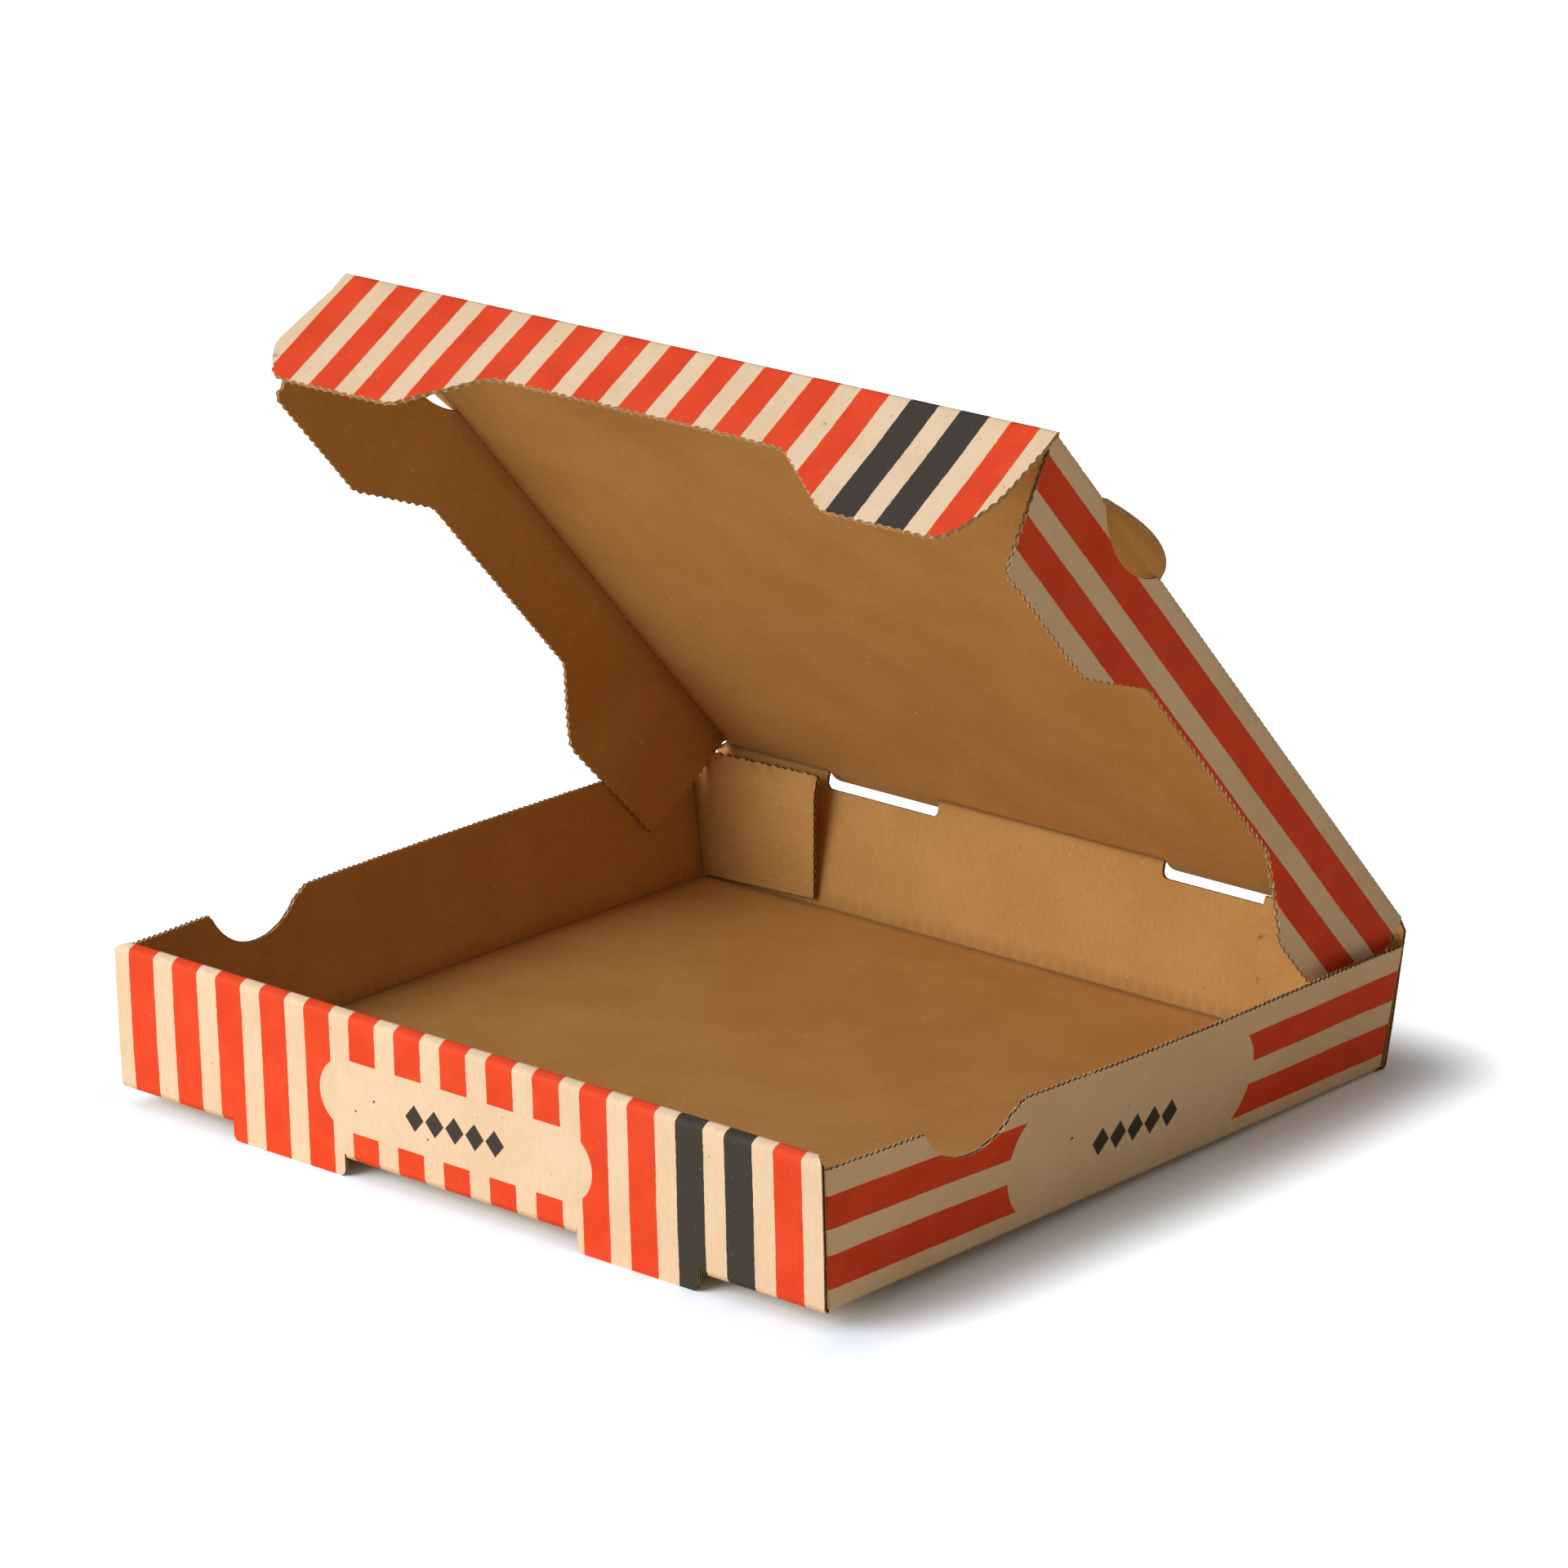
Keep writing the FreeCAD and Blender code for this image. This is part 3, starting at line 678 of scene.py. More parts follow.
def side_place(side):
    """A side wall stands splayed, and its ends turn inwards at the front and at the rear."""
    def place(u, t):
        front = wall_front(t)
        y = np.clip(u, front, WALL_REAR)
        turn = math.pi / 2 - wall_lean(y)
        bend = BEND * turn
        bent = np.clip(t, 0, bend)
        rest = np.maximum(t - bend, 0)
        angle = bent / BEND
        x = BASE_SIDE + np.minimum(t, 0) + BEND * np.sin(angle) + rest * np.cos(turn)
        z = HALF + BEND * (1 - np.cos(angle)) + rest * np.sin(turn)
        out_x, out_z = np.sin(angle), -np.cos(angle)
        ahead = np.maximum(front - u, 0)
        behind = np.maximum(u - WALL_REAR, 0)
        beyond = ahead + behind
        swept = np.minimum(beyond / BEND, math.pi / 2)
        straight = np.maximum(beyond - WALL_TURN, 0)
        x = x - BEND * (1 - np.cos(swept)) - straight
        way = np.where(ahead > 0, -1.0, 1.0)
        y = y + way * BEND * np.sin(swept) * (beyond > 0)
        out_y = way * out_x * np.sin(swept) * (beyond > 0)
        out_x = out_x * np.cos(swept)
        lift = ripple(u, t, RIPPLE_SEED["wall"] + side)
        lift = lift * eased(t, *WALL_FADE_UP) * eased(np.abs(u), *WALL_FADE_ENDS)
        crushed = eased(behind, *CRUSH_ALONG) * eased(t, *CRUSH_UP)
        (coarse, coarse_rate), (fine, fine_rate) = CRUSH_WAVES
        depth = CRUSH_DEPTH + coarse * np.sin(u * coarse_rate) + fine * np.sin(u * fine_rate + side)
        y = y + crushed * depth
        points = np.c_[side * (x + out_x * lift), y + out_y * lift, z + out_z * lift]
        return points, np.c_[side * out_x, out_y, out_z]

    return place


def side_blank(side):
    return lambda u, t: (side * (BASE_SIDE + WALL_BLANK_SHIFT + t), u)


def side_folds(u, t):
    low = np.abs(t - WALL_TURN / 2)
    rear = np.abs(u - WALL_REAR - WALL_TURN / 2)
    front = np.abs(u - wall_front(t) + WALL_TURN / 2)
    return np.minimum(low, np.minimum(rear, front))


def notch_legs(front_rise, rear_line):
    """The top of a side wall from the rear to its notch, the notch, and the top in front of it."""
    centre = NOTCH_LOW + NOTCH_RADIUS + NOTCH_GAP
    reach = math.sqrt(NOTCH_RADIUS ** 2 - (centre - WALL_TOP) ** 2)
    first = -math.degrees(math.acos((reach - NOTCH_LIP) / NOTCH_RADIUS))
    last = -180 + math.degrees(math.asin((centre - WALL_TOP) / NOTCH_RADIUS))
    rear = rear_line + [
        (NOTCH_Y + reach + 4, WALL_TOP),
        (NOTCH_Y + reach - NOTCH_LIP, WALL_TOP - NOTCH_LIP_DROP),
    ]
    front = [
        (NOTCH_Y - reach, WALL_TOP),
        (NOTCH_Y - reach - 2, WALL_TOP + front_rise),
        (wall_front(WALL_TOP) - WALL_TOP_CORNER, WALL_TOP + front_rise),
    ]
    return rounded(rear, [60.0, 3.0]), arc((NOTCH_Y, centre), NOTCH_RADIUS, first, last), front


def side_loops(side):
    """A side wall from its front tab over the corner flap and back along the top with the notch."""
    rear_top = WALL_TOP + WALL_REAR_RISE[side]
    front_low = wall_front(0)
    tab_start = front_low - WALL_TURN
    tab_end = tab_start - LOCKED_TAB + TAB_SHORTER
    tab_low, tab_top = 2.5, SIDE_HEIGHT - BOARD
    rear = WALL_REAR + WALL_TURN
    free = rear + (BASE_SIDE + BOARD) - CORNER_FREE - BOARD
    flap = [
        (WALL_REAR - 0.5, 0.0),
        (WALL_REAR + 0.3, 2.0),
        (rear, 2.6),
        (free + 0.4, 4.9),
        (free + 6.4, CORNER_TOP),
        (free + 4.0, CORNER_TOP),
    ]
    flap_top = [
        (free + 4.0, CORNER_TOP),
        (WALL_REAR + 7.5, CORNER_TOP_NEAR),
        (WALL_REAR + 3.5, rear_top),
        (WALL_REAR - 1.0, rear_top),
    ]
    wall_top, notch, front_top = notch_legs(
        WALL_FRONT_RISE[side], [(WALL_REAR - 1.0, rear_top), (REAR_RISE_START, WALL_TOP)]
    )
    end = front_top[-1]
    legs = [
        ("cut", [(tab_end, tab_low), (tab_start, 2.2), (front_low - 0.6, 0.9), (front_low + 0.6, 0.0)]),
        ("seam", [(front_low + 0.6, 0.0), (WALL_REAR - 0.5, 0.0)]),
        ("cut", rounded(flap, [0.4, 0.4, 1.0, 1.0])),
        ("wave", rounded(flap_top, [1.5, 1.5]), WAVE_SEED["corner"] + side, WAVE_HEIGHT, WAVE_PITCH),
        ("wave", wall_top, WAVE_SEED["rear"] + side, WALL_WAVE_HEIGHT, WALL_WAVE_PITCH),
        ("cut", notch),
        ("wave", front_top, WAVE_SEED["front"] + side, WALL_WAVE_HEIGHT, WALL_WAVE_PITCH),
        ("cut", [end, (end[0] - 1.5, tab_top), (tab_end, tab_top), (tab_end, tab_low)]),
    ]
    return [closed(*legs)]


# The lid: its panel and front flap in one sheet, and the two side flaps
LID_ALONG = np.array((0, -math.cos(LID_OPENING), math.sin(LID_OPENING)))
LID_OUT = np.array((0, math.sin(LID_OPENING), math.cos(LID_OPENING)))
LID_HINGE = np.array((0, HINGE_Y, HINGE_Z))
FLAP_TURN = math.pi / 2 - FRONT_FLAP_SPLAY
PANEL_END = LID_LENGTH - HALF - BEND * math.tan(FLAP_TURN / 2)
PANEL_RUN = [(PANEL_END, 0), (BEND * FLAP_TURN, -FLAP_TURN), (OPEN_LENGTH, 0)]
WIDER_FROM = 100
TWIST_LENGTH = 6
TAB_CURL = 0.012


def on_lid(x, along, out):
    """Places on the lid: across it, along it from the hinge, and outwards from its middle surface."""
    wider = LID_WIDER_REAR + (LID_WIDER_FRONT - LID_WIDER_REAR) * np.clip(along / LID_LENGTH, 0, 1)
    x = x + wider * eased(x, WIDER_FROM, SEAM_X)
    return LID_HINGE + np.outer(along, LID_ALONG) + np.outer(out, LID_OUT) + np.outer(x, (1, 0, 0))


def lid_way(x, along, out):
    """Directions on the lid."""
    return np.outer(along, LID_ALONG) + np.outer(out, LID_OUT) + np.outer(x, (1, 0, 0))


def panel_place(x, t):
    along, out, angle = run(t, PANEL_RUN, (0, 0), 0.0)
    way_along, way_out = -np.sin(angle), np.cos(angle)
    beyond = np.maximum(np.abs(x) - SEAM_X, 0) * (t < PANEL_END - 1)
    curl = TAB_CURL * beyond ** 2
    fade = eased(np.abs(x), SEAM_X, PANEL_FADE_SIDE) * eased(t, *PANEL_FADE_REAR)
    fade = fade * eased(t, PANEL_END - 1, PANEL_END - PANEL_FADE_FRONT)
    flap = eased(t, *(PANEL_END + np.array(FRONT_FLAP_FADE)))
    lift = ripple(x, t, RIPPLE_SEED["panel"]) * (fade + flap) + curl
    turn = FRONT_FLAP_TWIST * np.clip(-x / LID_HALF, -1, 1) * eased(t, PANEL_END, PANEL_END + TWIST_LENGTH)
    ahead = along - PANEL_END
    along = PANEL_END + ahead * np.cos(turn) - out * np.sin(turn)
    out = ahead * np.sin(turn) + out * np.cos(turn)
    points = on_lid(x, along + way_along * lift, out + way_out * lift)
    return points, lid_way(np.zeros_like(x), way_along, way_out)


def panel_blank(x, t):
    return x, t


def panel_folds(x, t):
    front = np.abs(t - PANEL_END - BEND * FLAP_TURN / 2)
    side = np.abs(SEAM_X + WALL_TURN / 2 - np.abs(x))
    return np.minimum(front, np.where(t < PANEL_END, side, NO_CREASE))


def flap_bottom(depth):
    """The length along the front flap's sheet of a depth under the lid's outer face."""
    return PANEL_END + BEND * FLAP_TURN + depth - BOARD - HALF


def moon(reach):
    """The radius and half angle of a half-moon cut of a reach."""
    radius = (FINGER_HALF ** 2 + reach ** 2) / (2 * reach)
    return radius, math.degrees(math.asin(FINGER_HALF / radius))


def front_flap_legs():
    """The free edge of the front flap, from its right end to its left end."""
    low = flap_bottom(FRONT_DEPTH + 0.2)
    high = flap_bottom(FRONT_RECESS)
    right_end = (LID_HALF + 0.6, flap_bottom(8))
    bottom = [
        right_end,
        (LID_HALF - 2.2, flap_bottom(33)),
        (144.0, flap_bottom(45.5)),
        (138.0, low),
        (91.5, low),
        (62.5, high),
        (-62.5, high),
        (-91.5, low),
        (-144.0, low + 0.4),
        (-LID_HALF + 2.6, flap_bottom(46.5)),
    ]
    radii = [30.0, 22.0, 10.0, 10.0, 13.0, 13.0, 10.0, 9.0]
    left = [
        (-LID_HALF + 2.2, flap_bottom(46.5)),
        (-LID_HALF - 2.6, flap_bottom(39)),
        (-LID_HALF + 0.6, flap_bottom(10)),
        (-LID_HALF - 0.3, PANEL_END + 0.6),
        (-SEAM_X, PANEL_END),
    ]
    return [
        ("cut", rounded([(SEAM_X, PANEL_END), (LID_HALF + 0.7, PANEL_END + 0.6), right_end], [0.4])),
        ("wave", rounded(bottom, radii), WAVE_SEED["panel"], WAVE_HEIGHT, WAVE_PITCH),
        ("cut", rounded(left, [9.0, 2.0, 0.4])),
    ]


def panel_loops():
    legs = notched(-SEAM_X, SEAM_X, HINGE_MARGIN, FOOT_SPANS, -FOOT_LENGTH)
    radius, half = moon(FINGER_REACH)
    middle = (LID_HALF + FINGER_REACH - radius, FINGER_ALONG)
    finger = [(SEAM_X, FINGER_START)] + arc(middle, radius, -half, half) + [(SEAM_X, FINGER_END)]
    legs.append(("seam", [(SEAM_X, HINGE_MARGIN), (SEAM_X, FINGER_START)]))
    legs.append(("cut", finger))
    legs.append(("seam", [(SEAM_X, FINGER_END), (SEAM_X, PANEL_END)]))
    legs += front_flap_legs()
    legs.append(("seam", [(-SEAM_X, PANEL_END), (-SEAM_X, FINGER_END)]))
    legs.append(("cut", mirrored(finger)))
    legs.append(("seam", [(-SEAM_X, FINGER_START), (-SEAM_X, HINGE_MARGIN)]))
    return [closed(*legs)]


# How far each side flap leans outwards, in degrees, at places along the lid
LEAN_ALONG = (0.0, 8.0, 30.0, 46.0, 64.0, 300.0)
FLAP_LEAN = {-1: (5.0, 5.2, 8.2, 13.0, 17.85, 17.85), 1: (2.6, 2.4, 1.9, 1.6, 1.4, 1.4)}
LEAN_SHIFTS = (-6, -3, 0, 3, 6)
FOLD_TO_DEPTH = BEND * math.pi / 2 - BOARD - HALF


def flap_place(side):
    def place(a, t):
        lean = np.zeros_like(a)
        for shift in LEAN_SHIFTS:
            lean += np.interp(a + shift, LEAN_ALONG, FLAP_LEAN[side]) / len(LEAN_SHIFTS)
        turn = math.pi / 2 - np.radians(lean)
        bend = BEND * turn
        angle = np.clip(t, 0, bend) / BEND
        rest = np.maximum(t - bend, 0)
        x = SEAM_X + BEND * np.sin(angle) + rest * np.cos(turn)
        out = -BEND * (1 - np.cos(angle)) - rest * np.sin(turn)
        way_x, way_out = np.sin(angle), np.cos(angle)
        lift = ripple(a, t, RIPPLE_SEED["flap"] + side) * eased(t, *SIDE_FLAP_FADE) * FLAP_RIPPLE
        points = on_lid(side * (x + way_x * lift), a, out + way_out * lift)
        return points, lid_way(side * way_x, np.zeros_like(a), way_out)

    return place


def flap_blank(side):
    return lambda a, t: (side * (LID_HALF + t - FOLD_TO_DEPTH), a)


def flap_folds(a, t):
    return np.abs(t - WALL_TURN / 2)


def flap_loops(side):
    """A side flap, recessed in its middle, with the hole that its finger tab leaves."""
    def at(along, depth):
        return along, depth + FOLD_TO_DEPTH

    radius, half = moon(HOLE_REACH[side])
    hole = arc(at(FINGER_ALONG, HOLE_REACH[side] - radius), radius, 90 + half, 90 - half)
    hole = [at(FINGER_START, 0.2)] + hole[1:-1] + [at(FINGER_END, 0.2)]
    low = FLAP_DEPTH
    line = rounded(
        [
            (PANEL_END, 0.0),
            at(LID_LENGTH - 0.6, 2.6),
            at(LID_LENGTH - FLAP_TIP[side], low),
            at(226.0, low),
            at(193.0, FLAP_RECESS + 0.4),
            at(92.0, FLAP_RECESS),
            at(60.0, low),
            at(7.8, low + 0.2),
            (HINGE_MARGIN, 0.0),
        ],
        [1.5, 3.2, 10.0, 10.0, 10.0, 10.0, 2.5],
    )
    legs = [
        ("seam", [(HINGE_MARGIN, 0.0), (FINGER_START, 0.0)]),
        ("cut", [(FINGER_START, 0.0)] + hole + [(FINGER_END, 0.0)]),
        ("seam", [(FINGER_END, 0.0), (PANEL_END, 0.0)]),
        ("wave", line, WAVE_SEED["flap"] + side, WAVE_HEIGHT, WAVE_PITCH),
    ]
    return [closed(*legs)]


# The crease between the back wall and the lid
CREASE_TURN = math.pi / 2 + BACK_LEAN - LID_OPENING
CREASE_REACH = BEND * math.tan(CREASE_TURN / 2)
CREASE_RUN = [
    (HINGE_MARGIN - CREASE_REACH, 0),
    (BEND * CREASE_TURN, CREASE_TURN),
    (HINGE_MARGIN - CREASE_REACH, 0),
]
CREASE_LENGTH = sum(length for length, _ in CREASE_RUN)
CREASE_START = (
    HINGE_Y - HINGE_MARGIN * math.sin(BACK_LEAN),
    HINGE_Z - HINGE_MARGIN * math.cos(BACK_LEAN),
)


def crease_place(x, t):
    y, z, angle = run(t, CREASE_RUN, CREASE_START, math.pi / 2 - BACK_LEAN)
    return np.c_[x, y, z], np.c_[np.zeros_like(x), np.sin(angle), -np.cos(angle)]


def crease_blank(x, t):
    return x, HALF_DEPTH + BACK_HEIGHT + t


def crease_folds(x, t):
    return np.abs(t - CREASE_LENGTH / 2)


def crease_loops(number):
    inner, outer = SLOT_SPANS[1]
    if number == 1:
        corners = [(-inner, 0), (inner, 0), (inner + 0.4, CREASE_LENGTH), (-inner - 0.4, CREASE_LENGTH)]
    else:
        end = BACK_TOP_RIGHT if number == 2 else -BACK_TOP_LEFT
        corners = [(outer, 0), (end, 0), (SEAM_X, CREASE_LENGTH), (outer - 0.4, CREASE_LENGTH)]
        if number == 0:
            corners = [(-x, t) for x, t in (corners[1], corners[0], corners[3], corners[2])]
    a, b, c, d = corners
    return [closed(("seam", [a, b]), ("cut", [b, c]), ("seam", [c, d]), ("cut", [d, a]))]


# Materials: colours are those of the board and the inks under plain light, apart from the painted shade in
# the flute hollows of cut edges and along the creases
KRAFT_OUT_LIGHT = (0.80, 0.62, 0.445, 1)
KRAFT_OUT_DARK = (0.75, 0.565, 0.38, 1)
KRAFT_IN_LIGHT = (0.555, 0.305, 0.102, 1)
KRAFT_IN_DARK = (0.50, 0.262, 0.078, 1)
FIBRE_DARK = (0.33, 0.19, 0.09, 1)
FIBRE_PALE = (0.88, 0.72, 0.52, 1)
INK_RED = (0.78, 0.066, 0.018, 1)
INK_RED_DEEP = (0.72, 0.055, 0.014, 1)
INK_CHARCOAL = (0.046, 0.040, 0.034, 1)
CREASE_SHADE = (0.16, 0.075, 0.025, 1)
# Painted shade: the dark colour of the hollows between the flutes in a cut edge; the soft and the pale copies
# paint less of it on the lid's edges
FLUTE_HOLLOW_SHADE = (0.035, 0.018, 0.008, 1)
FLUTE_HOLLOW_SHADE_SOFT = (0.16, 0.085, 0.03, 1)
FLUTE_HOLLOW_SHADE_PALE = (0.42, 0.26, 0.13, 1)
FLUTE_PITCH = 3.4
GRAIN_DEPTH = 0.0003
BOARD_SPECULAR = 0.18
LINER_SIDE = 0.78
FLUTE_SWING = 0.55
FLUTE_HALF = 0.2
CREASE_STRENGTH = 0.8


def feed(tree, values, node):
    """What goes into a node's sockets: numbers, colours, or what other nodes give."""
    for socket, value in values.items():
        if isinstance(value, (int, float, tuple)):
            node.inputs[socket].default_value = value
        else:
            tree.links.new(value, node.inputs[socket])


def add_node(tree, kind, values, **settings):
    node = tree.nodes.new(kind)
    for name, setting in settings.items():
        setattr(node, name, setting)
    feed(tree, values, node)
    return node


def smooth_range(tree, values):
    return add_node(tree, "ShaderNodeMapRange", values, interpolation_type="SMOOTHSTEP").outputs[0]


class Graph:
    """A material's node tree, built from sums of its own coordinates."""

    def __init__(self, name):
        self.material = bpy.data.materials.new(name)
        self.material.use_nodes = True
        self.tree = self.material.node_tree
        self.blank = self.attribute("blank").outputs["Vector"]
        parts = self.add("ShaderNodeSeparateXYZ", {0: self.blank})
        self.across, self.along, self.side = parts.outputs

    def add(self, kind, values, **settings):
        return add_node(self.tree, kind, values, **settings)

    def attribute(self, name):
        return self.add("ShaderNodeAttribute", {}, attribute_name=name)

    def coat(self, values):
        feed(self.tree, values, self.tree.nodes["Principled BSDF"])

    def math(self, operation, *values):
        return self.add("ShaderNodeMath", dict(enumerate(values)), operation=operation).outputs[0]

    def minus(self, first, second):
        return self.math("SUBTRACT", first, second)

    def plus(self, first, second):
        return self.math("ADD", first, second)

    def times(self, first, second):
        return self.math("MULTIPLY", first, second)

    def scaled(self, value, factor, offset):
        return self.math("MULTIPLY_ADD", value, factor, offset)

    def size(self, value):
        return self.math("ABSOLUTE", value)

    def either(self, first, second):
        return self.math("MAXIMUM", first, second)

    def below(self, value, limit):
        return self.math("LESS_THAN", value, limit)

    def above(self, value, limit):
        return self.math("GREATER_THAN", value, limit)

    def between(self, value, low, high):
        return self.times(self.above(value, low), self.below(value, high))

    def distance(self, across, up):
        return self.math("SQRT", self.plus(self.times(across, across), self.times(up, up)))

    def mix(self, factor, first, second):
        values = {0: factor, 6: first, 7: second}
        return self.add("ShaderNodeMix", values, data_type="RGBA").outputs[2]

    def noise(self, scale, detail=3.0, stretch=(1.0, 1.0, 1.0), shift=0.0):
        values = {"Vector": self.blank, "Scale": stretch, "Location": (shift, shift * 1.7, shift * 0.6)}
        place = self.add("ShaderNodeMapping", values).outputs[0]
        values = {"Vector": place, "Scale": scale, "Detail": detail}
        return self.add("ShaderNodeTexNoise", values).outputs["Fac"]

    def spread(self, value, low, high):
        return smooth_range(self.tree, {"Value": value, "From Min": low, "From Max": high})

    def board(self, light, dark):
        """Kraft liner: cloudy tone, short fibres along the flutes, and scattered dark and pale specks."""
        cloud = self.spread(self.noise(0.03, 4.0, shift=4.0), 0.3, 0.7)
        grain = self.noise(0.9, 4.0, (1.0, 0.28, 1.0), 9.0)
        tone = self.scaled(grain, 0.7, self.times(cloud, 0.3))
        colour = self.mix(self.spread(tone, 0.28, 0.72), dark, light)
        specks = self.spread(self.noise(0.42, 2.0, (1.0, 0.6, 1.0), 31.0), 0.735, 0.775)
        colour = self.mix(self.times(specks, 0.6), colour, FIBRE_DARK)
        pale = self.spread(self.noise(0.55, 2.0, (0.7, 1.0, 1.0), 57.0), 0.73, 0.78)
        return self.mix(self.times(pale, 0.5), colour, FIBRE_PALE)

    def relief(self, flutes, strength):
        """Fine paper grain with the flutes just showing through the liner."""
        wave = self.math("SINE", self.times(self.across, 2 * math.pi / FLUTE_PITCH))
        grain = self.noise(1.6, 4.0, (1.0, 0.5, 1.0), 15.0)
        soft = self.noise(0.12, 3.0, shift=21.0)
        height = self.scaled(wave, flutes, self.times(grain, 0.5))
        height = self.plus(height, self.times(soft, 1.2))
        values = {"Strength": strength, "Distance": GRAIN_DEPTH, "Height": height}
        self.coat({"Normal": self.add("ShaderNodeBump", values).outputs[0]})

    def finish(self, colour, roughness):
        self.coat({"Base Color": colour, "Roughness": roughness, "Specular IOR Level": BOARD_SPECULAR})
        return self.material


def wobbled(graph, value, width):
    """The print's edges wander by a part of a millimetre."""
    wobble = graph.scaled(graph.noise(0.5, 2.0, shift=3.0), width, -width / 2)
    return graph.plus(value, wobble)


def stripes(graph, start):
    """The lengthwise stripes: where there is ink, and where it is charcoal."""
    place = wobbled(graph, graph.across, STRIPE_WOBBLE)
    count = graph.math("DIVIDE", graph.minus(place, start), STRIPE_PITCH)
    within = graph.below(graph.math("FRACT", count), STRIPE_WIDTH / STRIPE_PITCH)
    ink = graph.times(within, graph.between(count, 0.0, float(STRIPE_COUNT)))
    return ink, graph.between(count, float(CHARCOAL_FIRST), float(CHARCOAL_END))


def plate(graph, across, up, centre, half_length, radius, centre_up):
    """A bare stadium-shaped place in the print."""
    sideways = graph.size(graph.minus(across, centre))
    sideways = graph.either(graph.minus(sideways, half_length), 0.0)
    high = graph.minus(up, centre_up)
    return graph.below(graph.distance(sideways, high), radius)


def diamonds(graph, across, up, first, pitch, count, low, high):
    """A plain row of diamonds."""
    place = graph.math("DIVIDE", graph.minus(across, first), pitch)
    part = graph.size(graph.minus(graph.math("FRACT", place), 0.5))
    rise = graph.math("DIVIDE", graph.minus(up, (low + high) / 2), high - low)
    reach = graph.plus(part, graph.size(rise))
    shape = graph.below(reach, DIAMOND_SIZE)
    return graph.times(shape, graph.between(place, 0.0, float(count)))


def specked(graph, marks, across, up, specks):
    """Dark specks in the board, added to the marks."""
    for (speck_across, speck_up), radius in specks:
        u = graph.minus(across, speck_across)
        v = graph.minus(up, speck_up)
        spot = graph.below(graph.distance(u, v), radius)
        marks = graph.either(marks, spot)
    return marks


def printed(name, masks):
    """Kraft liner with the print that masks draws on it."""
    graph = Graph(name)
    board = graph.board(KRAFT_OUT_LIGHT, KRAFT_OUT_DARK)
    ink, charcoal = masks(graph)
    density = graph.noise(0.07, 4.0, shift=41.0)
    red = graph.mix(graph.spread(density, 0.35, 0.65), INK_RED_DEEP, INK_RED)
    colour = graph.mix(charcoal, red, INK_CHARCOAL)
    pinholes = graph.spread(graph.noise(1.1, 3.0, shift=77.0), 0.70, 0.76)
    cover = graph.times(ink, graph.scaled(pinholes, -0.55, 1.0))
    graph.relief(0.10, 0.35)
    rough = graph.scaled(cover, -0.22, 0.86)
    return graph.finish(graph.mix(cover, board, colour), rough)


def front_masks(graph):
    up = graph.minus(-HALF_DEPTH, graph.along)
    ink, charcoal = stripes(graph, TRAY_STRIPE_START)
    bare = plate(graph, graph.across, up, *FRONT_PLATE)
    ink = graph.times(ink, graph.minus(1.0, bare))
    ink = graph.times(ink, graph.below(up, ROLL_END - FOOT_LENGTH + PRINT_PAST_FOLD))
    marks = diamonds(graph, graph.across, up, *FRONT_DIAMONDS)
    marks = specked(graph, marks, graph.across, up, FRONT_SPECKS)
    return graph.either(ink, marks), graph.either(charcoal, marks)


def base_masks(graph):
    ink, charcoal = stripes(graph, TRAY_STRIPE_START)
    front = graph.below(graph.along, -HALF_DEPTH + BASE_PRINT_FRONT)
    rear = graph.above(graph.along, HALF_DEPTH + BASE_PRINT_REAR)
    return graph.times(ink, graph.either(front, rear)), charcoal


def two_stripes(graph, up, spans):
    first, second = (graph.between(up, low, high) for low, high in spans)
    return graph.either(first, second)


def wall_masks(graph):
    away = graph.plus(graph.along, HALF_DEPTH)
    up = graph.minus(graph.size(graph.across), HALF_WIDTH)
    up = graph.scaled(away, WALL_PRINT_RISE / (2 * HALF_DEPTH), up)
    ink = two_stripes(graph, wobbled(graph, up, WALL_WOBBLE), WALL_STRIPES)
    ink = graph.times(ink, graph.minus(1.0, plate(graph, away, up, *WALL_PLATE)))
    ink = graph.times(ink, graph.between(graph.along, -HALF_DEPTH, WALL_REAR + PRINT_PAST_FOLD))
    marks = diamonds(graph, away, up, *WALL_DIAMONDS)
    marks = specked(graph, marks, away, up, WALL_SPECKS)
    return graph.either(ink, marks), marks


def lid_masks(graph):
    ink, charcoal = stripes(graph, LID_STRIPE_START)
    away = graph.minus(graph.along, LID_LENGTH / 2)
    far = graph.distance(graph.across, away)
    return graph.times(ink, graph.above(far, LID_PLATE_RADIUS)), charcoal


def flap_masks(graph):
    up = graph.minus(graph.size(graph.across), LID_HALF)
    return two_stripes(graph, wobbled(graph, up, WALL_WOBBLE), FLAP_STRIPES), 0.0


def plain_board():
    graph = Graph("kraft_inside")
    colour = graph.board(KRAFT_IN_LIGHT, KRAFT_IN_DARK)
    # Painted shade along the creases, strongest on the crease line
    crease = graph.times(graph.attribute("crease").outputs["Fac"], CREASE_STRENGTH)
    colour = graph.mix(crease, colour, CREASE_SHADE)
    graph.relief(0.14, 0.4)
    return graph.finish(colour, graph.scaled(graph.noise(0.8, 2.0), 0.1, 0.82))


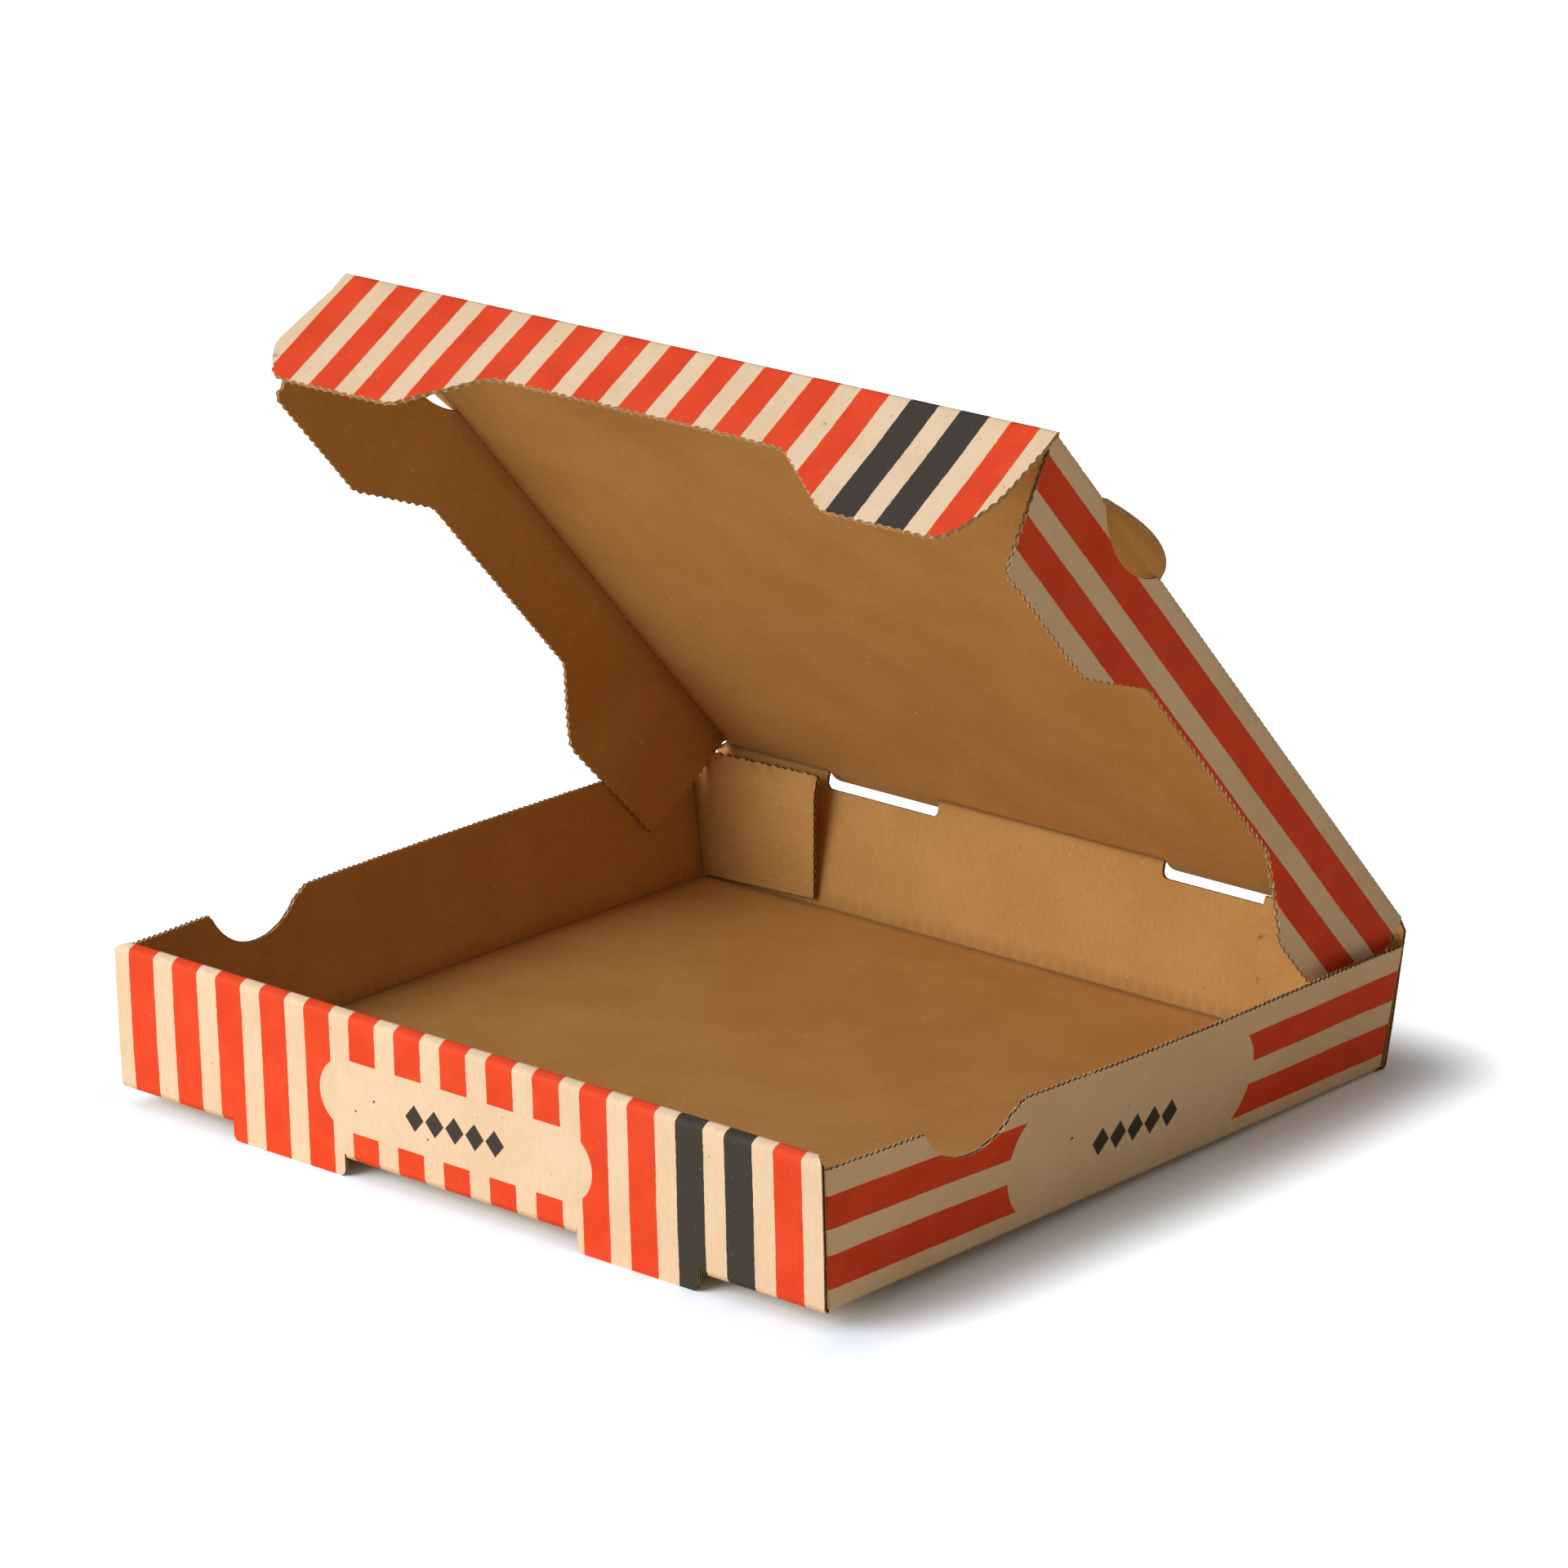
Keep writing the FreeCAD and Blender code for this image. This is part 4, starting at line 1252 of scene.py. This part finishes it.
def cut_board(name, hollow_shade, paper_light):
    """A cut edge: two liners with the fluted sheet between them, and painted shade in the flutes' hollows."""
    graph = Graph(name)
    liner = graph.above(graph.size(graph.side), LINER_SIDE)
    turn = graph.times(graph.across, 2 * math.pi / FLUTE_PITCH)
    wave = graph.times(graph.math("SINE", turn), FLUTE_SWING)
    apart = graph.size(graph.minus(graph.side, wave))
    flute = graph.below(apart, FLUTE_HALF)
    torn = graph.spread(graph.noise(0.9, 3.0, shift=12.0), 0.62, 0.72)
    paper = graph.either(graph.either(liner, flute), torn)
    tone = graph.mix(graph.spread(graph.noise(1.4, 3.0, shift=5.0), 0.4, 0.7), KRAFT_IN_DARK, paper_light)
    graph.relief(0.0, 0.5)
    # where there is no paper, the edge shows the painted shade of the hollows
    return graph.finish(graph.mix(paper, hollow_shade, tone), 0.9)


PLAIN = plain_board()
CUT = cut_board("kraft_cut_edge", FLUTE_HOLLOW_SHADE, KRAFT_OUT_LIGHT)
FLAP_CUT = cut_board("kraft_flap_edge", FLUTE_HOLLOW_SHADE_PALE, KRAFT_OUT_LIGHT)
KNIFE_CUT = cut_board("kraft_knife_edge", FLUTE_HOLLOW_SHADE_SOFT, KRAFT_OUT_DARK)
FRONT_PRINT = printed("print_front", front_masks)
BASE_PRINT = printed("print_back_wall", base_masks)
WALL_PRINT = printed("print_side_wall", wall_masks)
LID_PRINT = printed("print_lid", lid_masks)
FLAP_PRINT = printed("print_side_flap", flap_masks)


def bend_rows(start, length, count=7):
    """Rows that divide a bend evenly."""
    return [start + length * k / count for k in range(count + 1)]


# The pieces
tray_front = sheet(
    "tray_front_wall", "tray", front_loops(), front_place, front_blank, front_folds,
    (FRONT_PRINT, PLAIN, CUT),
    rows=bend_rows(ROLL_START, ROLL_END - ROLL_START, 14),
)
tray_base = sheet(
    "tray_base_and_back_wall", "tray", base_loops(), base_place, base_blank, base_folds,
    (BASE_PRINT, PLAIN, CUT),
    rows=bend_rows(0.6, FRONT_BEND_LENGTH - 0.6, 5)
    + bend_rows(BACK_BEND_START, BACK_BEND_END - BACK_BEND_START),
)
tray_walls = [
    sheet(
        "tray_%s_wall" % name, "tray", side_loops(side), side_place(side), side_blank(side), side_folds,
        (WALL_PRINT, PLAIN, CUT),
        rows=bend_rows(0.6, WALL_TURN - 0.6, 5),
        columns=bend_rows(WALL_REAR, WALL_TURN, 6)
        + bend_rows(wall_front(48) - WALL_TURN, WALL_TURN + 3.5, 9),
        flip=side > 0,
    )
    for name, side in SIDES
]
lid_panel = sheet(
    "lid_panel_and_front_flap", "lid", panel_loops(), panel_place, panel_blank, panel_folds,
    (LID_PRINT, PLAIN, FLAP_CUT),
    rows=bend_rows(PANEL_END, BEND * FLAP_TURN),
    columns=(-159, -156, -153, 153, 156, 159),
)
lid_flaps = [
    sheet(
        "lid_%s_flap" % name, "lid", flap_loops(side), flap_place(side), flap_blank(side), flap_folds,
        (FLAP_PRINT, PLAIN, KNIFE_CUT),
        rows=bend_rows(0.5, WALL_TURN - 0.5, 6),
        spacing=FLAP_SPACING,
        flip=side > 0,
    )
    for name, side in SIDES
]
creases = [
    sheet(
        "lid_crease_%d" % number, None, crease_loops(number), crease_place, crease_blank, crease_folds,
        (BASE_PRINT, PLAIN, CUT),
        rows=bend_rows(0.8, CREASE_LENGTH - 1.6, 9),
    )
    for number in range(3)
]

for piece in [tray_front, tray_base] + tray_walls:
    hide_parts("tray")
for piece in [lid_panel] + lid_flaps:
    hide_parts("lid")
for piece in creases:
    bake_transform(piece)

# The side flaps and the lid panel each get a mesh of their own
for piece, (_, side) in zip(lid_flaps, SIDES):
    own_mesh(piece)
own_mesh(lid_panel)


# The floor touches the two feet and the rear edge of the base; its own sizes are in metres
FLOOR_HALF = 9.0
FLOOR_TILT = math.atan2(FOOT_LENGTH, 2 * HALF_DEPTH)
FLOOR_COLOUR = (0.82, 0.70, 0.52, 1)
FLOOR_SEEN = (1.14, 1.28, 1.43, 1)
# Painted light on the floor: a glow that grows from GLOW_NEAR to GLOW_FAR away from the box
FLOOR_GLOW = 0.8
GLOW_NEAR = 0.008
GLOW_FAR = 0.065
FLOOR_GAP = 0.0001

# The light: a sky that only lights, two suns, and an area lamp placed in metres
SKY_COLOUR = (1.0, 0.92, 0.79, 1)
SKY_STRENGTH = 0.225
KEY_SOURCE = (-0.45, -0.82, 0.42)
KEY_POWER = 2.32
KEY_SPREAD = math.radians(44)
TOP_SOURCE = (-0.25, -0.25, 0.90)
TOP_POWER = 0.6
TOP_SPREAD = math.radians(40)
FILL_PLACE = (-0.30, -0.62, 0.10)
FILL_AIM = (0.08, -0.02, 0.20)
FILL_POWER = 1.0
FILL_SIZE = 0.5


def vector_math(tree, operation, vector, value=(0, 0, 0)):
    node = add_node(tree, "ShaderNodeVectorMath", {0: vector, 1: value}, operation=operation)
    return node.outputs["Value" if operation == "LENGTH" else "Vector"]


def distance_glow(tree):
    """Painted light: the floor glows more with the distance from the box, so that its shadow fades away from
    the box.
    """
    place = add_node(tree, "ShaderNodeTexCoord", {})
    size = vector_math(tree, "ABSOLUTE", place.outputs["Object"])
    beyond = vector_math(tree, "SUBTRACT", size, (HALF_WIDTH * MM, HALF_DEPTH * MM, 0))
    clear = vector_math(tree, "MAXIMUM", beyond)
    flat = vector_math(tree, "MULTIPLY", clear, (1, 1, 0))
    far = vector_math(tree, "LENGTH", flat)
    values = {"Value": far, "From Min": GLOW_NEAR, "From Max": GLOW_FAR, "To Max": FLOOR_GLOW}
    return smooth_range(tree, values)


def split_for_camera(tree, unseen, seen, output):
    """The camera sees one shader, and every other ray meets the other."""
    ray = add_node(tree, "ShaderNodeLightPath", {}).outputs["Is Camera Ray"]
    mix = add_node(tree, "ShaderNodeMixShader", {0: ray, 1: unseen.outputs[0], 2: seen.outputs[0]})
    feed(tree, {0: mix.outputs[0]}, tree.nodes[output])


def make_floor():
    mesh = bpy.data.meshes.new("floor")
    rear = HALF_DEPTH * MM
    corners = []
    for x, y in ((-1, -1), (1, -1), (1, 1), (-1, 1)):
        z = (y * FLOOR_HALF - rear) * math.tan(FLOOR_TILT) - FLOOR_GAP
        corners.append((x * FLOOR_HALF, y * FLOOR_HALF, z))
    mesh.from_pydata(corners, [], [(0, 1, 2, 3)])
    floor = new_object("floor", mesh)
    material = bpy.data.materials.new("floor")
    material.use_nodes = True
    tree = material.node_tree
    tree.nodes.remove(tree.nodes["Principled BSDF"])
    plain = add_node(tree, "ShaderNodeBsdfDiffuse", {"Color": FLOOR_COLOUR})
    seen = add_node(tree, "ShaderNodeBsdfDiffuse", {"Color": FLOOR_SEEN})
    # painted light: the floor's glow grows with the distance from the box
    glow = add_node(tree, "ShaderNodeEmission", {"Strength": distance_glow(tree)})
    lit = add_node(tree, "ShaderNodeAddShader", {0: seen.outputs[0], 1: glow.outputs[0]})
    split_for_camera(tree, plain, lit, "Material Output")
    mesh.materials.append(material)


def make_world():
    world = bpy.data.worlds.new("world")
    bpy.context.scene.world = world
    world.use_nodes = True
    tree = world.node_tree
    light = tree.nodes["Background"]
    feed(tree, {"Color": SKY_COLOUR, "Strength": SKY_STRENGTH}, light)
    seen = add_node(tree, "ShaderNodeBackground", {"Color": (1, 1, 1, 1), "Strength": 1.0})
    split_for_camera(tree, light, seen, "World Output")


def make_lamp(name, kind, power, source):
    """A lamp that shines from the direction of source."""
    data = bpy.data.lights.new(name, kind)
    data.energy = power
    lamp = new_object(name, data)
    lamp.rotation_euler = Vector(source).to_track_quat("Z", "Y").to_euler()
    return lamp


def make_lamps():
    """A soft key from the front left, a weak light from above, and a small fill low in front."""
    key = make_lamp("key", "SUN", KEY_POWER, KEY_SOURCE)
    key.data.angle = KEY_SPREAD
    top = make_lamp("top", "SUN", TOP_POWER, TOP_SOURCE)
    top.data.angle = TOP_SPREAD
    fill = make_lamp("fill", "AREA", FILL_POWER, Vector(FILL_PLACE) - Vector(FILL_AIM))
    fill.data.size = FILL_SIZE
    fill.location = FILL_PLACE
    fill.visible_camera = False


make_floor()
make_world()
make_lamps()

bpy.context.scene.view_settings.view_transform = "Standard"


def plain(corners):
    return [[float(value) for value in corner] for corner in corners]
